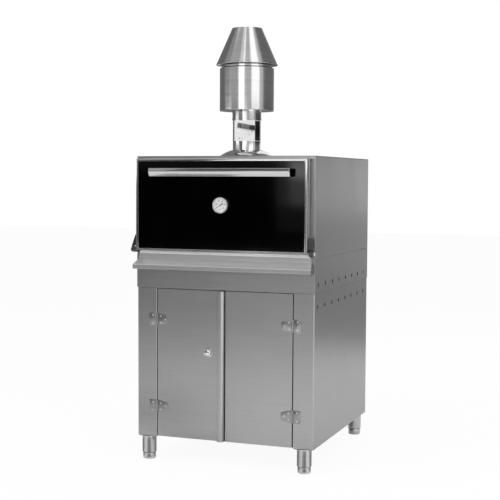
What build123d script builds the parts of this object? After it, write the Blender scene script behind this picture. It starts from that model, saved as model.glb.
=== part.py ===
from build123d import *
import os

# A charcoal oven on a cabinet: a bottom-hinged oven door over an ash drawer, a two-door
# cabinet on four legs, and a flue with a damper, a spark drum and a cone hat.
# Sizes are in millimetres. +X is the oven's right, +Y its back and +Z is up. The floor is z = 0.
# The middle of the space that the whole oven takes up is x = 0, y = 0.

# Body
cabinet_width = 783
cabinet_depth = 821
leg_height = 100
cabinet_height = 633
base_height = 140
oven_height = 414
sheet = 2
bend = 3.5
casing_overlap = 1.5
apron_proud = 4
flange = 20
seam_gap = 1.5

# Cabinet
post_width = 88.5
post_return = 30
door_gap = 2
side_gap = 3
shelf_height = 300
shelf_setback = 60
shelf_lip = 25
vent_count = 8
vent_radius = 8.5
vent_first = 48
vent_pitch = 100.5
cabinet_vent_drop = 55
base_vent_rise = 32

# Cabinet doors
door_thickness = 20
door_skin = 1.5
door_lip = 14
meeting_gap = 3
meeting_shift = 6
strip_width = 27
strip_proud = 20
strip_inset = 0.5
strip_left_round = 5
strip_right_round = 14

# Butterfly hinges
hinge_height = 54
hinge_rise = 130
hinge_spacing = 371
leaf_thickness = 1.6
frame_leaf_width = 36
door_leaf_width = 50
door_leaf_tip = 32
knuckle_radius = 3.3
knuckle_proud = 3.5
hinge_pin_radius = 1.5
hinge_screw_radius = 2
hinge_screw_head = 3.4
hinge_screw_dome = 1.4
hinge_screw_round = 1
hinge_screw_spacing = 34
door_screw_spacing = 27
near_screw_inset = 16.5
tip_screw_inset = 36
leaf_tip_round = 8
running_gap = 0.05
end_gap = 0.4

# Door latch
knob_inset = 71
knob_height = 373
rosette_radius = 19
rosette_thickness = 3
rosette_round = 1.5
latch_knob_radius = 16
latch_knob_length = 20
knob_face_round = 9.5
knob_base_round = 4
spindle_radius = 4
spindle_reach = 12
cam_length = 42
cam_width = 14
cam_thickness = 3
cam_round = 3.5

# Legs and feet
leg_inset_side = 44
leg_inset_front = 20
leg_inset_back = 32
leg_radius = 30
leg_wall = 2.5
leg_plate_size = 74
leg_plate_thickness = 3
leg_plug_height = 18
foot_radius = 27
foot_height = 26
foot_chamfer = 4
foot_step = 2
foot_stem_radius = 8
foot_stem_length = 40

# Front sill, pivots and ash drawer
sill_depth = 16
sill_height = 13.5
sill_rise = 19
sill_edge_radius = 6
slot_drop = 1
slot_height = 62.5
slot_margin = 4
drawer_gap = 2
lip_reach = 51
lip_band_height = 18.5
lip_slope_height = 25
lip_taper = 11
lip_height = 19
lip_return = 11
lip_sheet = 1.5
lip_end_thickness = 2
tray_side_room = 63
tray_length = 560
tray_height = 44
tray_wall = 1.5
slide_gap = 0.3
rail_shelf = 32
rail_rise = 40

# Oven chamber
frame_thickness = 5
mouth_width = 644
mouth_bottom = 38
mouth_top_margin = 47
firebox_wall = 6
firebox_floor = 12
firebox_depth = 635
ash_opening_side = 42
ash_opening_front = 55
base_ledge = 80
insulation_back = 60
insulation_gap = 1
grate_height = 12
grate_side_gap = 12
grate_front_gap = 20
grate_bars = 26
grate_bar_width = 12
grate_cross_bars = 3
grate_cross_width = 16
runner_thickness = 3
runner_ledge = 14
runner_levels = 3
runner_first = 49
runner_spacing = 75
runner_setback = 40
runner_length = 560
rack_frame = 8
rack_rods = 24
rack_rod_radius = 3
rack_side_gap = 3

# Oven door
door_depth = 52
door_clearance = 4
door_side_inset = 16.5
door_bottom_gap = 4.5
door_top_inset = 11
tray_depth = 32
frame_skin = 1.5
frame_side_width = 11
frame_top_width = 11
frame_bottom_width = 6.5
frame_edge_radius = 1
panel_thickness = 3
panel_gap = 0.5
liner_step = 4
liner_wall = 3
plug_gap = 6
plug_bottom_gap = 7
plug_depth = 22
plug_face = 8
gasket_inset = 3
gasket_width = 6
gasket_gap = 0.6
gasket_round = 1.5
fitting_shift = 7
handle_length = 612
handle_height = 33
handle_depth = 16
handle_edge_radius = 2.5
handle_standoff = 26
handle_drop = 68
post_radius = 8
post_inset = 55

# Door pivots
pivot_forward = 35
pivot_rise = 0.5
pivot_pin_radius = 5
lug_thickness = 12
lug_radius = 12
lug_gap = 0.8
ear_length = 9
ear_radius = 11
fin_thickness = 8
fin_height = 62
fin_bottom = 15
fin_top_width = 9
dome_length = 3
dome_radius = 9.5
dome_round = 2.5

# Thermometer
thermometer_drop = 201
case_radius = 33
case_rim = 4
case_round = 1.3
case_depth = 13
movement_depth = 6
dial_thickness = 1
glass_thickness = 1.5
glass_recess = 1
stem_radius = 4
stem_reach = 12
needle_length = 21
needle_tail = 12
needle_width = 2.4
needle_thickness = 0.8
needle_hub_radius = 2.6
needle_hub_length = 2.2
needle_pin_radius = 0.8
needle_rest_angle = 214

# Flue
flue_setback = 262
flue_radius = 60
flue_wall = 2
flue_length = 197
flue_hole_gap = 28
skirt_radius = 118
skirt_height = 30
skirt_bulge = 3.5
skirt_wall = 1.5
collar_wall = 2
collar_height = 36
collar_drop = 3
bead_wall = 1.6
bead_height = 4

# Damper
damper_height = 132
damper_clearance = 2
damper_thickness = 3
damper_shaft_radius = 5
damper_rest_angle = -10
damper_travel = 90
plate_left = 32
plate_right = 60
plate_above = 23
plate_below = 65
plate_proud = 4
plate_thickness = 2
notch_count = 6
notch_radius = 2.6
notch_circle = 54
lever_gap = 0.5
lever_thickness = 4
lever_width = 20
lever_round = 5
lever_tail = 17
lever_reach = 64
lever_knob_reach = 55
lever_knob_radius = 11
lever_knob_length = 17
lever_knob_neck = 4
grip_face_round = 5.5
grip_base_round = 2
shaft_overhang = 4

# Spark drum and hat
drum_radius = 116.5
drum_height = 180
drum_wall = 1.5
shoulder_height = 4
neck_radius = 109
neck_height = 9
baffle_radius = 88
baffle_rise = 84
baffle_thickness = 2
baffle_leg_radius = 4
baffle_legs = 3
hat_gap = 2
hat_base_radius = 132.5
hat_top_radius = 64
hat_height = 156
hat_wall = 1.5
hat_hem = 4
bracket_count = 3
bracket_width = 20
bracket_thickness = 2.5
bracket_foot = 20
bracket_rise = 20

# Places worked out from the sizes
handle_reach = handle_standoff + handle_depth
front_reach = door_depth + handle_reach
front = (front_reach - cabinet_depth) / 2
back = front + cabinet_depth
half = cabinet_width / 2
inner_half = half - sheet
case_half = half + casing_overlap
case_inner = case_half - sheet
cabinet_top = leg_height + cabinet_height
base_floor_top = cabinet_top + sheet
oven_bottom = cabinet_top + base_height
oven_top_z = oven_bottom + oven_height
post_inner = half - post_width
sill_top = oven_bottom + sill_rise
sill_bottom = sill_top - sill_height
apron_face = front - apron_proud
apron_top = sill_bottom - slot_drop
slot_bottom = apron_top - slot_height
tray_bottom = slot_bottom + slot_margin / 2
tray_half = case_half - tray_side_room
drawer_back = apron_face - drawer_gap
mouth_half = mouth_width / 2
mouth_floor = oven_bottom + mouth_bottom
mouth_top = oven_top_z - mouth_top_margin
firebox_half = mouth_half + firebox_wall
firebox_top = mouth_top + firebox_wall
firebox_back = front + frame_thickness + firebox_depth
firebox_floor_top = oven_bottom + firebox_floor
door_half = case_half - door_side_inset - casing_overlap
door_face = front - door_depth
door_back = front - door_clearance
door_bottom = sill_top + door_bottom_gap
door_top = oven_top_z - door_top_inset
pivot_y = front - pivot_forward
pivot_z = door_bottom + pivot_rise
lug_outer = case_inner
lug_inner = lug_outer - lug_thickness
dial_z = oven_top_z - thermometer_drop
flue_y = front + flue_setback
damper_z = oven_top_z + damper_height
drum_bottom = oven_top_z + flue_length
drum_top = drum_bottom + drum_height + shoulder_height
neck_top = drum_top + neck_height
hat_bottom = neck_top + hat_gap
meeting_left = meeting_shift - meeting_gap / 2
meeting_right = meeting_shift + meeting_gap / 2
hinge_axis_x = post_inner - side_gap / 2
hinge_axis_y = front - knuckle_proud
cabinet_door_bottom = leg_height + meeting_gap
cabinet_door_top = cabinet_top - door_gap
lower_hinge_z = leg_height + hinge_rise
upper_hinge_z = lower_hinge_z + hinge_spacing


def block(x0, x1, y0, y1, z0, z1):
    """A box between two corners."""
    centre = Pos((x0 + x1) / 2, (y0 + y1) / 2, (z0 + z1) / 2)
    return centre * Box(abs(x1 - x0), abs(y1 - y0), abs(z1 - z0))


def rod_x(radius, x0, x1, y, z):
    """A round bar along X."""
    return Pos((x0 + x1) / 2, y, z) * Rot(0, 90, 0) * Cylinder(radius, abs(x1 - x0))


def rod_y(radius, x, y0, y1, z):
    """A round bar along Y."""
    return Pos(x, (y0 + y1) / 2, z) * Rot(90, 0, 0) * Cylinder(radius, abs(y1 - y0))


def rod_z(radius, x, y, z0, z1):
    """A round bar along Z."""
    return Pos(x, y, (z0 + z1) / 2) * Cylinder(radius, abs(z1 - z0))


def other_side(shape):
    """The same piece on the oven's other side."""
    return mirror(shape, about=Plane.YZ)


def both_sides(shape):
    """A piece and its mirror image."""
    return [shape, other_side(shape)]


def bent_profile(points, thickness):
    """The section of a sheet whose outer face follows the points, with rounded bends."""
    line = FilletPolyline(*points, radius=bend)
    return make_face(offset(line, amount=thickness, side=Side.LEFT, closed=True))


def along_x(profile, x0, x1):
    """A section drawn in Y and Z, made into a bar from x0 to x1."""
    return Pos(x0, 0, 0) * extrude(Plane.YZ * profile, x1 - x0)


def along_y(profile, y0, y1):
    """A section drawn in X and Z, made into a bar from y0 to y1."""
    return Pos(0, y1, 0) * extrude(Plane.XZ * profile, y1 - y0)


def turned(points, x, y):
    """A ring around a vertical axis, from the outline of its section in radius and height."""
    profile = Plane.XZ * make_face(Polyline(*points, close=True))
    return Pos(x, y, 0) * revolve(profile, Axis.Z)


def save(name, pieces):
    """Writes one node, which holds one solid or a group of separate ones."""
    shape = pieces
    if isinstance(pieces, list):
        shape = Compound([piece.solid() for piece in pieces])
    export_step(shape, "parts/" + name + ".step")


# Cabinet
def vents(x0, x1, z):
    """The row of round vent holes in a side panel."""
    row = Part()
    for i in range(vent_count):
        row += rod_x(vent_radius, x0, x1, front + vent_first + i * vent_pitch, z)
    return row


def cabinet_side():
    """Right side panel, bent into the front post and a back flange."""
    outline = [
        (post_inner, front + post_return),
        (post_inner, front),
        (half, front),
        (half, back),
        (half - flange, back),
    ]
    panel = extrude(bent_profile(outline, sheet), cabinet_height)
    panel = Pos(0, 0, leg_height) * panel
    rim_front = front + post_return + door_gap
    rim_back = back - flange
    rim_inner = inner_half - post_return
    panel += block(rim_inner, inner_half + sheet / 2, rim_front, rim_back, leg_height, leg_height + sheet)
    panel += block(rim_inner, inner_half + sheet / 2, rim_front, rim_back, cabinet_top - sheet, cabinet_top)
    vent_z = cabinet_top - cabinet_vent_drop
    return panel - vents(half - flange, half + sheet, vent_z)


def cabinet_back():
    """Flat back panel, seated on the side panels' back flanges."""
    edge = inner_half - seam_gap
    low = leg_height + 2 * sheet
    return block(-edge, edge, back - 2 * sheet, back - sheet, low, cabinet_top - sheet)


def cabinet_floor():
    """Floor sheet on the side panels' bottom flanges, with a tongue between the posts."""
    edge = inner_half - seam_gap
    low = leg_height + sheet
    wide_front = front + post_return + door_gap
    floor = block(-edge, edge, wide_front, back - sheet, low, low + sheet)
    tongue = post_inner - seam_gap
    tongue_front = front + door_thickness + door_gap
    floor += block(-tongue, tongue, tongue_front, wide_front + sheet, low, low + sheet)
    return floor


def cabinet_shelf():
    """Middle shelf with its edges turned down, fixed to the side panels."""
    top = leg_height + shelf_height
    low = top - shelf_lip
    near = front + shelf_setback
    far = back - 2 * sheet - seam_gap
    shelf = block(-inner_half, inner_half, near, far, low, top)
    hollow = inner_half - sheet
    return shelf - block(-hollow, hollow, near + sheet, back, low - sheet, top - sheet)


def leg_places():
    """The four leg axes, front left first."""
    x = half - leg_inset_side
    return {
        "front_left": (-x, front + leg_inset_front),
        "front_right": (x, front + leg_inset_front),
        "back_left": (-x, back - leg_inset_back),
        "back_right": (x, back - leg_inset_back),
    }


def leg(x, y):
    """Capped tube leg with a top plate under the cabinet and a bored plug at its lower end."""
    plate_low = leg_height - leg_plate_thickness
    post = rod_z(leg_radius, x, y, foot_height + foot_step, leg_height)
    post -= rod_z(leg_radius - leg_wall, x, y, foot_height + foot_step + leg_plug_height, plate_low)
    post -= rod_z(foot_stem_radius + running_gap, x, y, 0, plate_low)
    side = leg_plate_size / 2
    near = max(y - side, front)
    far = min(y + side, back)
    return post + block(x - side, x + side, near, far, plate_low, leg_height)


def foot(x, y):
    """Round levelling foot with its stem up in the leg's plug."""
    low_radius = foot_radius - foot_chamfer
    outline = [
        (0, 0),
        (low_radius, 0),
        (foot_radius, foot_chamfer),
        (foot_radius, foot_height),
        (foot_stem_radius, foot_height),
        (foot_stem_radius, foot_height + foot_stem_length),
        (0, foot_height + foot_stem_length),
    ]
    return turned(outline, x, y)


# Cabinet doors
def cabinet_door(x0, x1):
    """Folded door tray, open at the back inside a turned-in lip."""
    low = cabinet_door_bottom
    high = cabinet_door_top
    far = front + door_thickness
    tray = block(x0, x1, front, far, low, high)
    tray = fillet(tray.edges().filter_by(Axis.Z).group_by(Axis.Y)[0], door_skin)
    inset = door_skin
    tray -= block(x0 + inset, x1 - inset, front + inset, far - inset, low + inset, high - inset)
    rim = door_lip
    return tray - block(x0 + rim, x1 - rim, far - 2 * inset, far + inset, low + rim, high - rim)


def strip_bar(wall):
    """The pull strip's rounded form, taken in by the wall on every side but the back."""
    right = meeting_left - wall
    left = meeting_left - strip_width + wall
    low = cabinet_door_bottom + strip_inset + wall
    high = cabinet_door_top - strip_inset - wall
    near = front - strip_proud + wall
    bar = block(left, right, near, front + wall, low, high)
    right_edge = bar.edges().filter_by(Axis.Z).group_by(Axis.X)[-1].sort_by(Axis.Y)[0]
    bar = fillet(right_edge, strip_right_round - wall)
    left_edge = bar.edges().filter_by(Axis.Z).group_by(Axis.X)[0].sort_by(Axis.Y)[0]
    return fillet(left_edge, strip_left_round - wall)


def pull_strip():
    """Raised channel along the left door's meeting edge, which is its grip."""
    return strip_bar(0) - strip_bar(door_skin)


def knuckle(z0, z1, bore):
    """Part of the right hinges' barrel."""
    barrel = rod_z(knuckle_radius, hinge_axis_x, hinge_axis_y, z0, z1)
    return barrel - rod_z(bore, hinge_axis_x, hinge_axis_y, z0 - 1, z1 + 1)


def frame_leaf(z):
    """Square leaf on the right post, with the barrel's ends and the pin."""
    low = z - hinge_height / 2
    high = z + hinge_height / 2
    third = hinge_height / 3
    near = front - leaf_thickness
    outer = hinge_axis_x + frame_leaf_width
    inner = hinge_axis_x + knuckle_radius + end_gap
    leaf = block(inner, outer, near, front, low, high)
    for z0 in (low, high - third):
        leaf += block(hinge_axis_x, inner, hinge_axis_y, near + leaf_thickness / 2, z0, z0 + third)
        leaf += block(inner - end_gap, inner, hinge_axis_y, front - leaf_thickness / 2, z0, z0 + third)
        leaf += rod_z(knuckle_radius, hinge_axis_x, hinge_axis_y, z0, z0 + third)
    leaf += rod_z(hinge_pin_radius, hinge_axis_x, hinge_axis_y, low, high)
    screw_x = (inner + outer) / 2
    for side in (-1, 1):
        screw_z = z + side * hinge_screw_spacing / 2
        leaf -= rod_y(hinge_screw_radius + running_gap, screw_x, near - 1, front + 1, screw_z)
    return leaf


def hinge_screw(x, z):
    """Round-headed screw that holds a leaf."""
    near = front - leaf_thickness
    head = rod_y(hinge_screw_head, x, near - hinge_screw_dome, near, z)
    head = fillet(head.edges().group_by(Axis.Y)[0], hinge_screw_round)
    return head + rod_y(hinge_screw_radius, x, near, front, z)


def frame_leaf_screws(z):
    """The two screws of one right post leaf."""
    inner = hinge_axis_x + knuckle_radius + end_gap
    outer = hinge_axis_x + frame_leaf_width
    x = (inner + outer) / 2
    step = hinge_screw_spacing / 2
    return [hinge_screw(x, z - step), hinge_screw(x, z + step)]


def door_leaf_screw_places(z):
    """Screw centres on a right door leaf: two by the barrel and one at the tip."""
    near_x = hinge_axis_x - near_screw_inset
    tip_x = hinge_axis_x - tip_screw_inset
    step = door_screw_spacing / 2
    return [(near_x, z - step), (near_x, z + step), (tip_x, z)]


def door_leaf(z):
    """Tapered leaf on the right door, with the barrel's middle."""
    third = hinge_height / 3
    low = z - third / 2 + end_gap
    high = z + third / 2 - end_gap
    near = front - leaf_thickness
    inner = hinge_axis_x - knuckle_radius - end_gap
    tip = hinge_axis_x - door_leaf_width
    outline = Polyline(
        (inner, z - hinge_height / 2),
        (inner, z + hinge_height / 2),
        (tip, z + door_leaf_tip / 2),
        (tip, z - door_leaf_tip / 2),
        close=True,
    )
    leaf = along_y(make_face(outline), near, front)
    leaf = fillet(leaf.edges().filter_by(Axis.Y).group_by(Axis.X)[0], leaf_tip_round)
    leaf += block(inner, hinge_axis_x, hinge_axis_y, near + leaf_thickness / 2, low, high)
    leaf += block(inner, inner + end_gap, hinge_axis_y, front - leaf_thickness / 2, low, high)
    leaf += rod_z(knuckle_radius, hinge_axis_x, hinge_axis_y, low, high)
    leaf -= rod_z(hinge_pin_radius + running_gap, hinge_axis_x, hinge_axis_y, low - 1, high + 1)
    for x, screw_z in door_leaf_screw_places(z):
        leaf -= rod_y(hinge_screw_radius + running_gap, x, near - 1, front + 1, screw_z)
    return leaf


def door_leaves():
    """The right door's two leaves and their screws."""
    pieces = []
    for z in (lower_hinge_z, upper_hinge_z):
        pieces.append(door_leaf(z))
        for x, screw_z in door_leaf_screw_places(z):
            pieces.append(hinge_screw(x, screw_z))
    return pieces


# Latch
knob_x = meeting_left - knob_inset
knob_z = leg_height + knob_height


def knob_rosette():
    """Round plate behind the latch knob."""
    plate = rod_y(rosette_radius, knob_x, front - rosette_thickness, front, knob_z)
    plate = fillet(plate.edges().group_by(Axis.Y)[0], rosette_round)
    return plate - rod_y(spindle_radius + running_gap, knob_x, front - flange, front + flange, knob_z)


def latch_knob():
    """Domed knob and its spindle."""
    base = front - rosette_thickness - end_gap
    tip = base - latch_knob_length
    knob = rod_y(latch_knob_radius, knob_x, tip, base, knob_z)
    knob = fillet(knob.edges().group_by(Axis.Y)[0], knob_face_round)
    knob = fillet(knob.edges().group_by(Axis.Y)[-1], knob_base_round)
    return knob + rod_y(spindle_radius, knob_x, base, front + spindle_reach, knob_z)


def latch_cam():
    """Flat cam at the spindle's end, hanging down inside the door."""
    far = front + spindle_reach
    near = far - cam_thickness
    side = cam_width / 2
    cam = block(knob_x - side, knob_x + side, near, far, knob_z + side - cam_length, knob_z + side)
    cam = fillet(cam.edges().filter_by(Axis.Y), cam_round)
    return cam - rod_y(spindle_radius, knob_x, near - 1, far + 1, knob_z)


# Base casing
def base_side():
    """Right side of the base, with flanges at its front, back, bottom and top."""
    panel = block(case_inner, case_half, apron_face + sheet, back, base_floor_top, oven_bottom)
    near = apron_face + sheet
    panel += block(case_half - flange, case_half, near, front, base_floor_top, apron_top)
    panel += block(case_half - flange, case_half, back - sheet, back, base_floor_top, oven_bottom)
    rim_front = front + frame_thickness + seam_gap
    foot_top = base_floor_top + sheet
    rim_back = back - 2 * sheet
    panel += block(case_half - 2 * flange, case_half, rim_front, rim_back, base_floor_top, foot_top)
    panel += block(case_half - base_ledge, case_half, rim_front, rim_back, oven_bottom - sheet, oven_bottom)
    return panel - vents(case_inner - 1, case_half + sheet, base_floor_top + base_vent_rise)


def base_floor():
    """Sheet between the cabinet and the base."""
    return block(-inner_half, inner_half, front + sheet, back - 2 * sheet, cabinet_top, base_floor_top)


def base_apron():
    """Front sheet of the base with the ash drawer's slot."""
    apron = block(-case_half, case_half, apron_face, apron_face + sheet, base_floor_top, apron_top)
    slot = tray_half + slot_margin
    near = apron_face - 1
    return apron - block(-slot, slot, near, front, slot_bottom, apron_top - slot_drop)


def drawer_rail():
    """Right rail: a foot on the base floor, a web, and a shelf under the drawer."""
    web = tray_half + slide_gap
    top = tray_bottom - slide_gap
    near = front + flange
    far = near + tray_length
    rail = block(web, web + sheet, near, far, base_floor_top, top + rail_rise)
    rail += block(web - rail_shelf, web + sheet, near, far, top - sheet, top)
    return rail + block(web - rail_shelf, web + sheet, near, far, base_floor_top, base_floor_top + sheet)


def sill_bar():
    """Polished bar under the oven door."""
    bar = block(-door_half, door_half, front - sill_depth, front, sill_bottom, sill_top)
    return fillet(bar.edges().filter_by(Axis.X).group_by(Axis.Y)[0], sill_edge_radius)


def pivot_bracket():
    """Right lug on the front frame, with an eye for the door's pivot pin."""
    arm = block(lug_inner, lug_outer, pivot_y, front, pivot_z - lug_radius, pivot_z + lug_radius)
    eye = rod_x(lug_radius, lug_inner, lug_outer, pivot_y, pivot_z)
    bore = rod_x(pivot_pin_radius + running_gap, lug_inner - 1, lug_outer + 1, pivot_y, pivot_z)
    return arm + eye - bore


# Ash drawer
def lip_points():
    """The front's outer face in Y and Z: a flat band, a ramp, the lip and its return."""
    face = drawer_back - lip_sheet
    ramp_top = apron_top - lip_band_height
    knee = ramp_top - lip_slope_height
    low = knee - lip_height
    return [
        (face, apron_top),
        (face, ramp_top),
        (front - lip_reach, knee),
        (front - lip_reach, low),
        (front - lip_reach + lip_return, low),
    ]


def lip_room(inset):
    """The space between the drawer front's ends: narrow at the band, wide at the lip."""
    narrow = half - lip_taper - inset
    wide = half - inset
    ramp_top = apron_top - lip_band_height
    knee = ramp_top - lip_slope_height
    low = knee - lip_height - 1
    outline = Polyline(
        (-narrow, apron_top),
        (-narrow, ramp_top),
        (-wide, knee),
        (-wide, low),
        (wide, low),
        (wide, knee),
        (narrow, ramp_top),
        (narrow, apron_top),
        close=True,
    )
    return along_y(make_face(outline), front - lip_reach - 1, front)


def drawer_front():
    """Front of the ash drawer: a bent sheet with a ramp and lip, on a back plate, with closed ends."""
    points = lip_points()
    high = apron_top
    low = points[-1][1]
    lip = along_x(bent_profile(points, lip_sheet), -half, half)
    lip += block(-half, half, drawer_back - lip_sheet, drawer_back, low, high)
    end = make_face(Polyline(*points[:-1], (drawer_back, low), (drawer_back, high), close=True))
    end = fillet(end.vertices().group_by(Axis.X)[0], bend)
    ends = along_x(end, -half, half) - lip_room(lip_end_thickness)
    return (lip + ends) & lip_room(0)


def drawer_tray():
    """Open tray for the ash."""
    far = drawer_back + tray_length
    top = tray_bottom + tray_height
    tray = block(-tray_half, tray_half, drawer_back, far, tray_bottom, top)
    inner = tray_half - tray_wall
    near = drawer_back + tray_wall
    return tray - block(-inner, inner, near, far - tray_wall, tray_bottom + tray_wall, top + 1)


# Oven chamber and casing
def oven_casing_side():
    """Right side of the oven, folded over at the top."""
    outline = [
        (case_half, oven_bottom + seam_gap),
        (case_half, oven_top_z),
        (case_half - flange, oven_top_z),
    ]
    return along_y(bent_profile(outline, sheet), front, back)


def oven_casing_top():
    """Top sheet between the folded sides, with the flue hole."""
    edge = case_half - flange
    top = block(-edge, edge, front, back, oven_top_z - sheet, oven_top_z)
    hole = flue_radius + flue_hole_gap
    return top - rod_z(hole, 0, flue_y, firebox_top, oven_top_z + 1)


def rear_cover():
    """Back sheet behind the oven and the base."""
    high = oven_top_z - sheet
    far = back - sheet
    cover = block(-case_inner, case_inner, far - sheet, far, base_floor_top, high)
    return fillet(cover.edges().filter_by(Axis.Y).group_by(Axis.Z)[-1], bend - sheet)


def oven_front_frame():
    """Plate round the oven's mouth, which the door closes against."""
    high = oven_top_z - sheet
    frame = block(-case_inner, case_inner, front, front + frame_thickness, sill_bottom, high)
    frame = fillet(frame.edges().filter_by(Axis.Y).group_by(Axis.Z)[-1], bend - sheet)
    return frame - block(-mouth_half, mouth_half, front - 1, front + flange, mouth_floor, mouth_top)


def firebox():
    """Steel chamber, open at the front, with an ash opening below and a flue hole above."""
    near = front + frame_thickness
    shell = block(-firebox_half, firebox_half, near, firebox_back, oven_bottom, firebox_top)
    far = firebox_back - firebox_wall
    shell -= block(-mouth_half, mouth_half, near - 1, far, firebox_floor_top, mouth_top)
    side = mouth_half - ash_opening_side
    ash_front = near + ash_opening_front
    ash_back = far - ash_opening_front
    shell -= block(-side, side, ash_front, ash_back, oven_bottom - 1, firebox_floor_top + 1)
    return shell - rod_z(flue_radius - flue_wall, 0, flue_y, mouth_top - 1, firebox_top + 1)


def insulation():
    """Blanket at the sides, top and back of the firebox."""
    near = front + frame_thickness
    far = firebox_back + insulation_back
    side = case_inner - insulation_gap
    high = oven_top_z - sheet - insulation_gap
    blanket = block(-side, side, near, far, oven_bottom, high)
    blanket = fillet(blanket.edges().filter_by(Axis.Y).group_by(Axis.Z)[-1], bend)
    blanket -= block(-firebox_half, firebox_half, near - 1, firebox_back, oven_bottom - 1, firebox_top)
    return blanket - rod_z(flue_radius, 0, flue_y, firebox_top - 1, oven_top_z)


def charcoal_grate():
    """Cast grate on the firebox floor that carries the charcoal."""
    side = mouth_half - grate_side_gap
    near = front + frame_thickness + grate_front_gap
    far = firebox_back - firebox_wall - grate_front_gap
    low = firebox_floor_top
    high = low + grate_height
    pitch = (2 * side - grate_bar_width) / (grate_bars - 1)
    grate = block(-side, side, near, near + grate_cross_width, low, high)
    grate += block(-side, side, far - grate_cross_width, far, low, high)
    for i in range(1, grate_cross_bars):
        y = near + i * (far - near - grate_cross_width) / grate_cross_bars
        grate += block(-side, side, y, y + grate_cross_width, low, low + grate_height / 2)
    for i in range(grate_bars):
        x = -side + i * pitch
        grate += block(x, x + grate_bar_width, near, far, low, high)
    return grate


def runner_top(level):
    """Height of a rack ledge."""
    return mouth_floor + runner_first + level * runner_spacing


def rack_runner():
    """Right ladder of ledges that the grill rack slides on."""
    near = front + runner_setback
    far = near + runner_length
    inner = mouth_half - runner_thickness
    low = runner_top(0) - runner_spacing / 2
    high = runner_top(runner_levels - 1) + runner_spacing / 2
    runner = block(inner, mouth_half, near, far, low, high)
    for level in range(runner_levels):
        top = runner_top(level)
        runner += block(inner - runner_ledge, mouth_half, near, far, top - runner_thickness, top)
    return runner


def grill_rack():
    """Rod grill in the middle ledges."""
    side = mouth_half - runner_thickness - rack_side_gap
    near = front + runner_setback
    far = near + runner_length
    low = runner_top(1)
    high = low + rack_frame
    rack = block(-side, side, near, near + rack_frame, low, high)
    rack += block(-side, side, far - rack_frame, far, low, high)
    rack += block(-side, rack_frame - side, near, far, low, high)
    rack += block(side - rack_frame, side, near, far, low, high)
    pitch = 2 * side / (rack_rods + 1)
    for i in range(rack_rods):
        x = -side + (i + 1) * pitch
        rack += rod_y(rack_rod_radius, x, near + 1, far - 1, high - rack_rod_radius)
    return rack


# Oven door
def oven_door_frame():
    """Bright tray of the door, with a window for the dark panel."""
    far = door_face + tray_depth
    tray = block(-door_half, door_half, door_face, far, door_bottom, door_top)
    tray = fillet(tray.edges().group_by(Axis.Y)[0], frame_edge_radius)
    inner = door_half - frame_skin
    low = door_bottom + frame_skin
    high = door_top - frame_skin
    tray -= block(-inner, inner, door_face + frame_skin, far + 1, low, high)
    side = door_half - frame_side_width
    window_low = door_bottom + frame_bottom_width
    window_high = door_top - frame_top_width
    return tray - block(-side, side, door_face - 1, far, window_low, window_high)


def oven_door_panel():
    """Dark front panel behind the window."""
    inner = door_half - frame_skin - panel_gap
    near = door_face + frame_skin
    low = door_bottom + frame_skin + panel_gap
    high = door_top - frame_skin - panel_gap
    panel = block(-inner, inner, near, near + panel_thickness, low, high)
    return panel - rod_y(stem_radius, fitting_shift, near - 1, near + flange, dial_z)


def oven_door_liner():
    """Inner pan of the door with the plug that fills the mouth."""
    side = door_half - liner_step
    low = door_bottom + liner_step
    high = door_top - liner_step
    near = door_face + tray_depth
    wall = liner_wall
    pan = block(-side, side, near, door_back, low, high)
    pan -= block(wall - side, side - wall, near - 1, door_back - wall, low + wall, high - wall)
    plug_side = mouth_half - plug_gap
    plug_low = mouth_floor + plug_bottom_gap
    plug_high = mouth_top - plug_bottom_gap
    far = door_back + plug_depth
    plug = block(-plug_side, plug_side, door_back - wall, far, plug_low, plug_high)
    hollow_side = plug_side - wall
    hollow = block(
        -hollow_side,
        hollow_side,
        door_back - 2 * wall,
        far - plug_face,
        plug_low + wall,
        plug_high - wall,
    )
    return pan + plug - hollow - rod_y(stem_radius, fitting_shift, near, far + 1, dial_z)


def oven_door_insulation():
    """Board between the dark panel and the liner's hollow."""
    inner = door_half - liner_step - liner_wall
    near = door_face + frame_skin + panel_thickness
    low = door_bottom + liner_step + liner_wall
    high = door_top - liner_step - liner_wall
    board = block(-inner, inner, near, door_back - liner_wall, low, high)
    return board - rod_y(stem_radius, fitting_shift, near - 1, door_back + 1, dial_z)


def oven_door_gasket():
    """Rope seal round the plug."""
    far = front - gasket_gap
    inner = mouth_half + gasket_inset
    low = mouth_floor - gasket_inset
    high = mouth_top + gasket_inset
    wide = gasket_width
    rope = block(-inner - wide, inner + wide, door_back, far, low - wide, high + wide)
    rope = fillet(rope.edges().group_by(Axis.Y)[-1], gasket_round)
    return rope - block(-inner, inner, door_back - 1, far + 1, low, high)


def oven_door_handle():
    """Flat bar handle and its two posts."""
    left = fitting_shift - handle_length / 2
    right = fitting_shift + handle_length / 2
    high = oven_top_z - handle_drop + handle_height / 2
    low = high - handle_height
    near = door_face - handle_reach
    far = near + handle_depth
    bar = block(left, right, near, far, low, high)
    bar = fillet(bar.edges(), handle_edge_radius)
    seat = door_face + frame_skin
    middle = (low + high) / 2
    posts = []
    for x in (left + post_inset, right - post_inset):
        posts.append(rod_y(post_radius, x, far, seat, middle))
    return [bar] + posts


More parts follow.
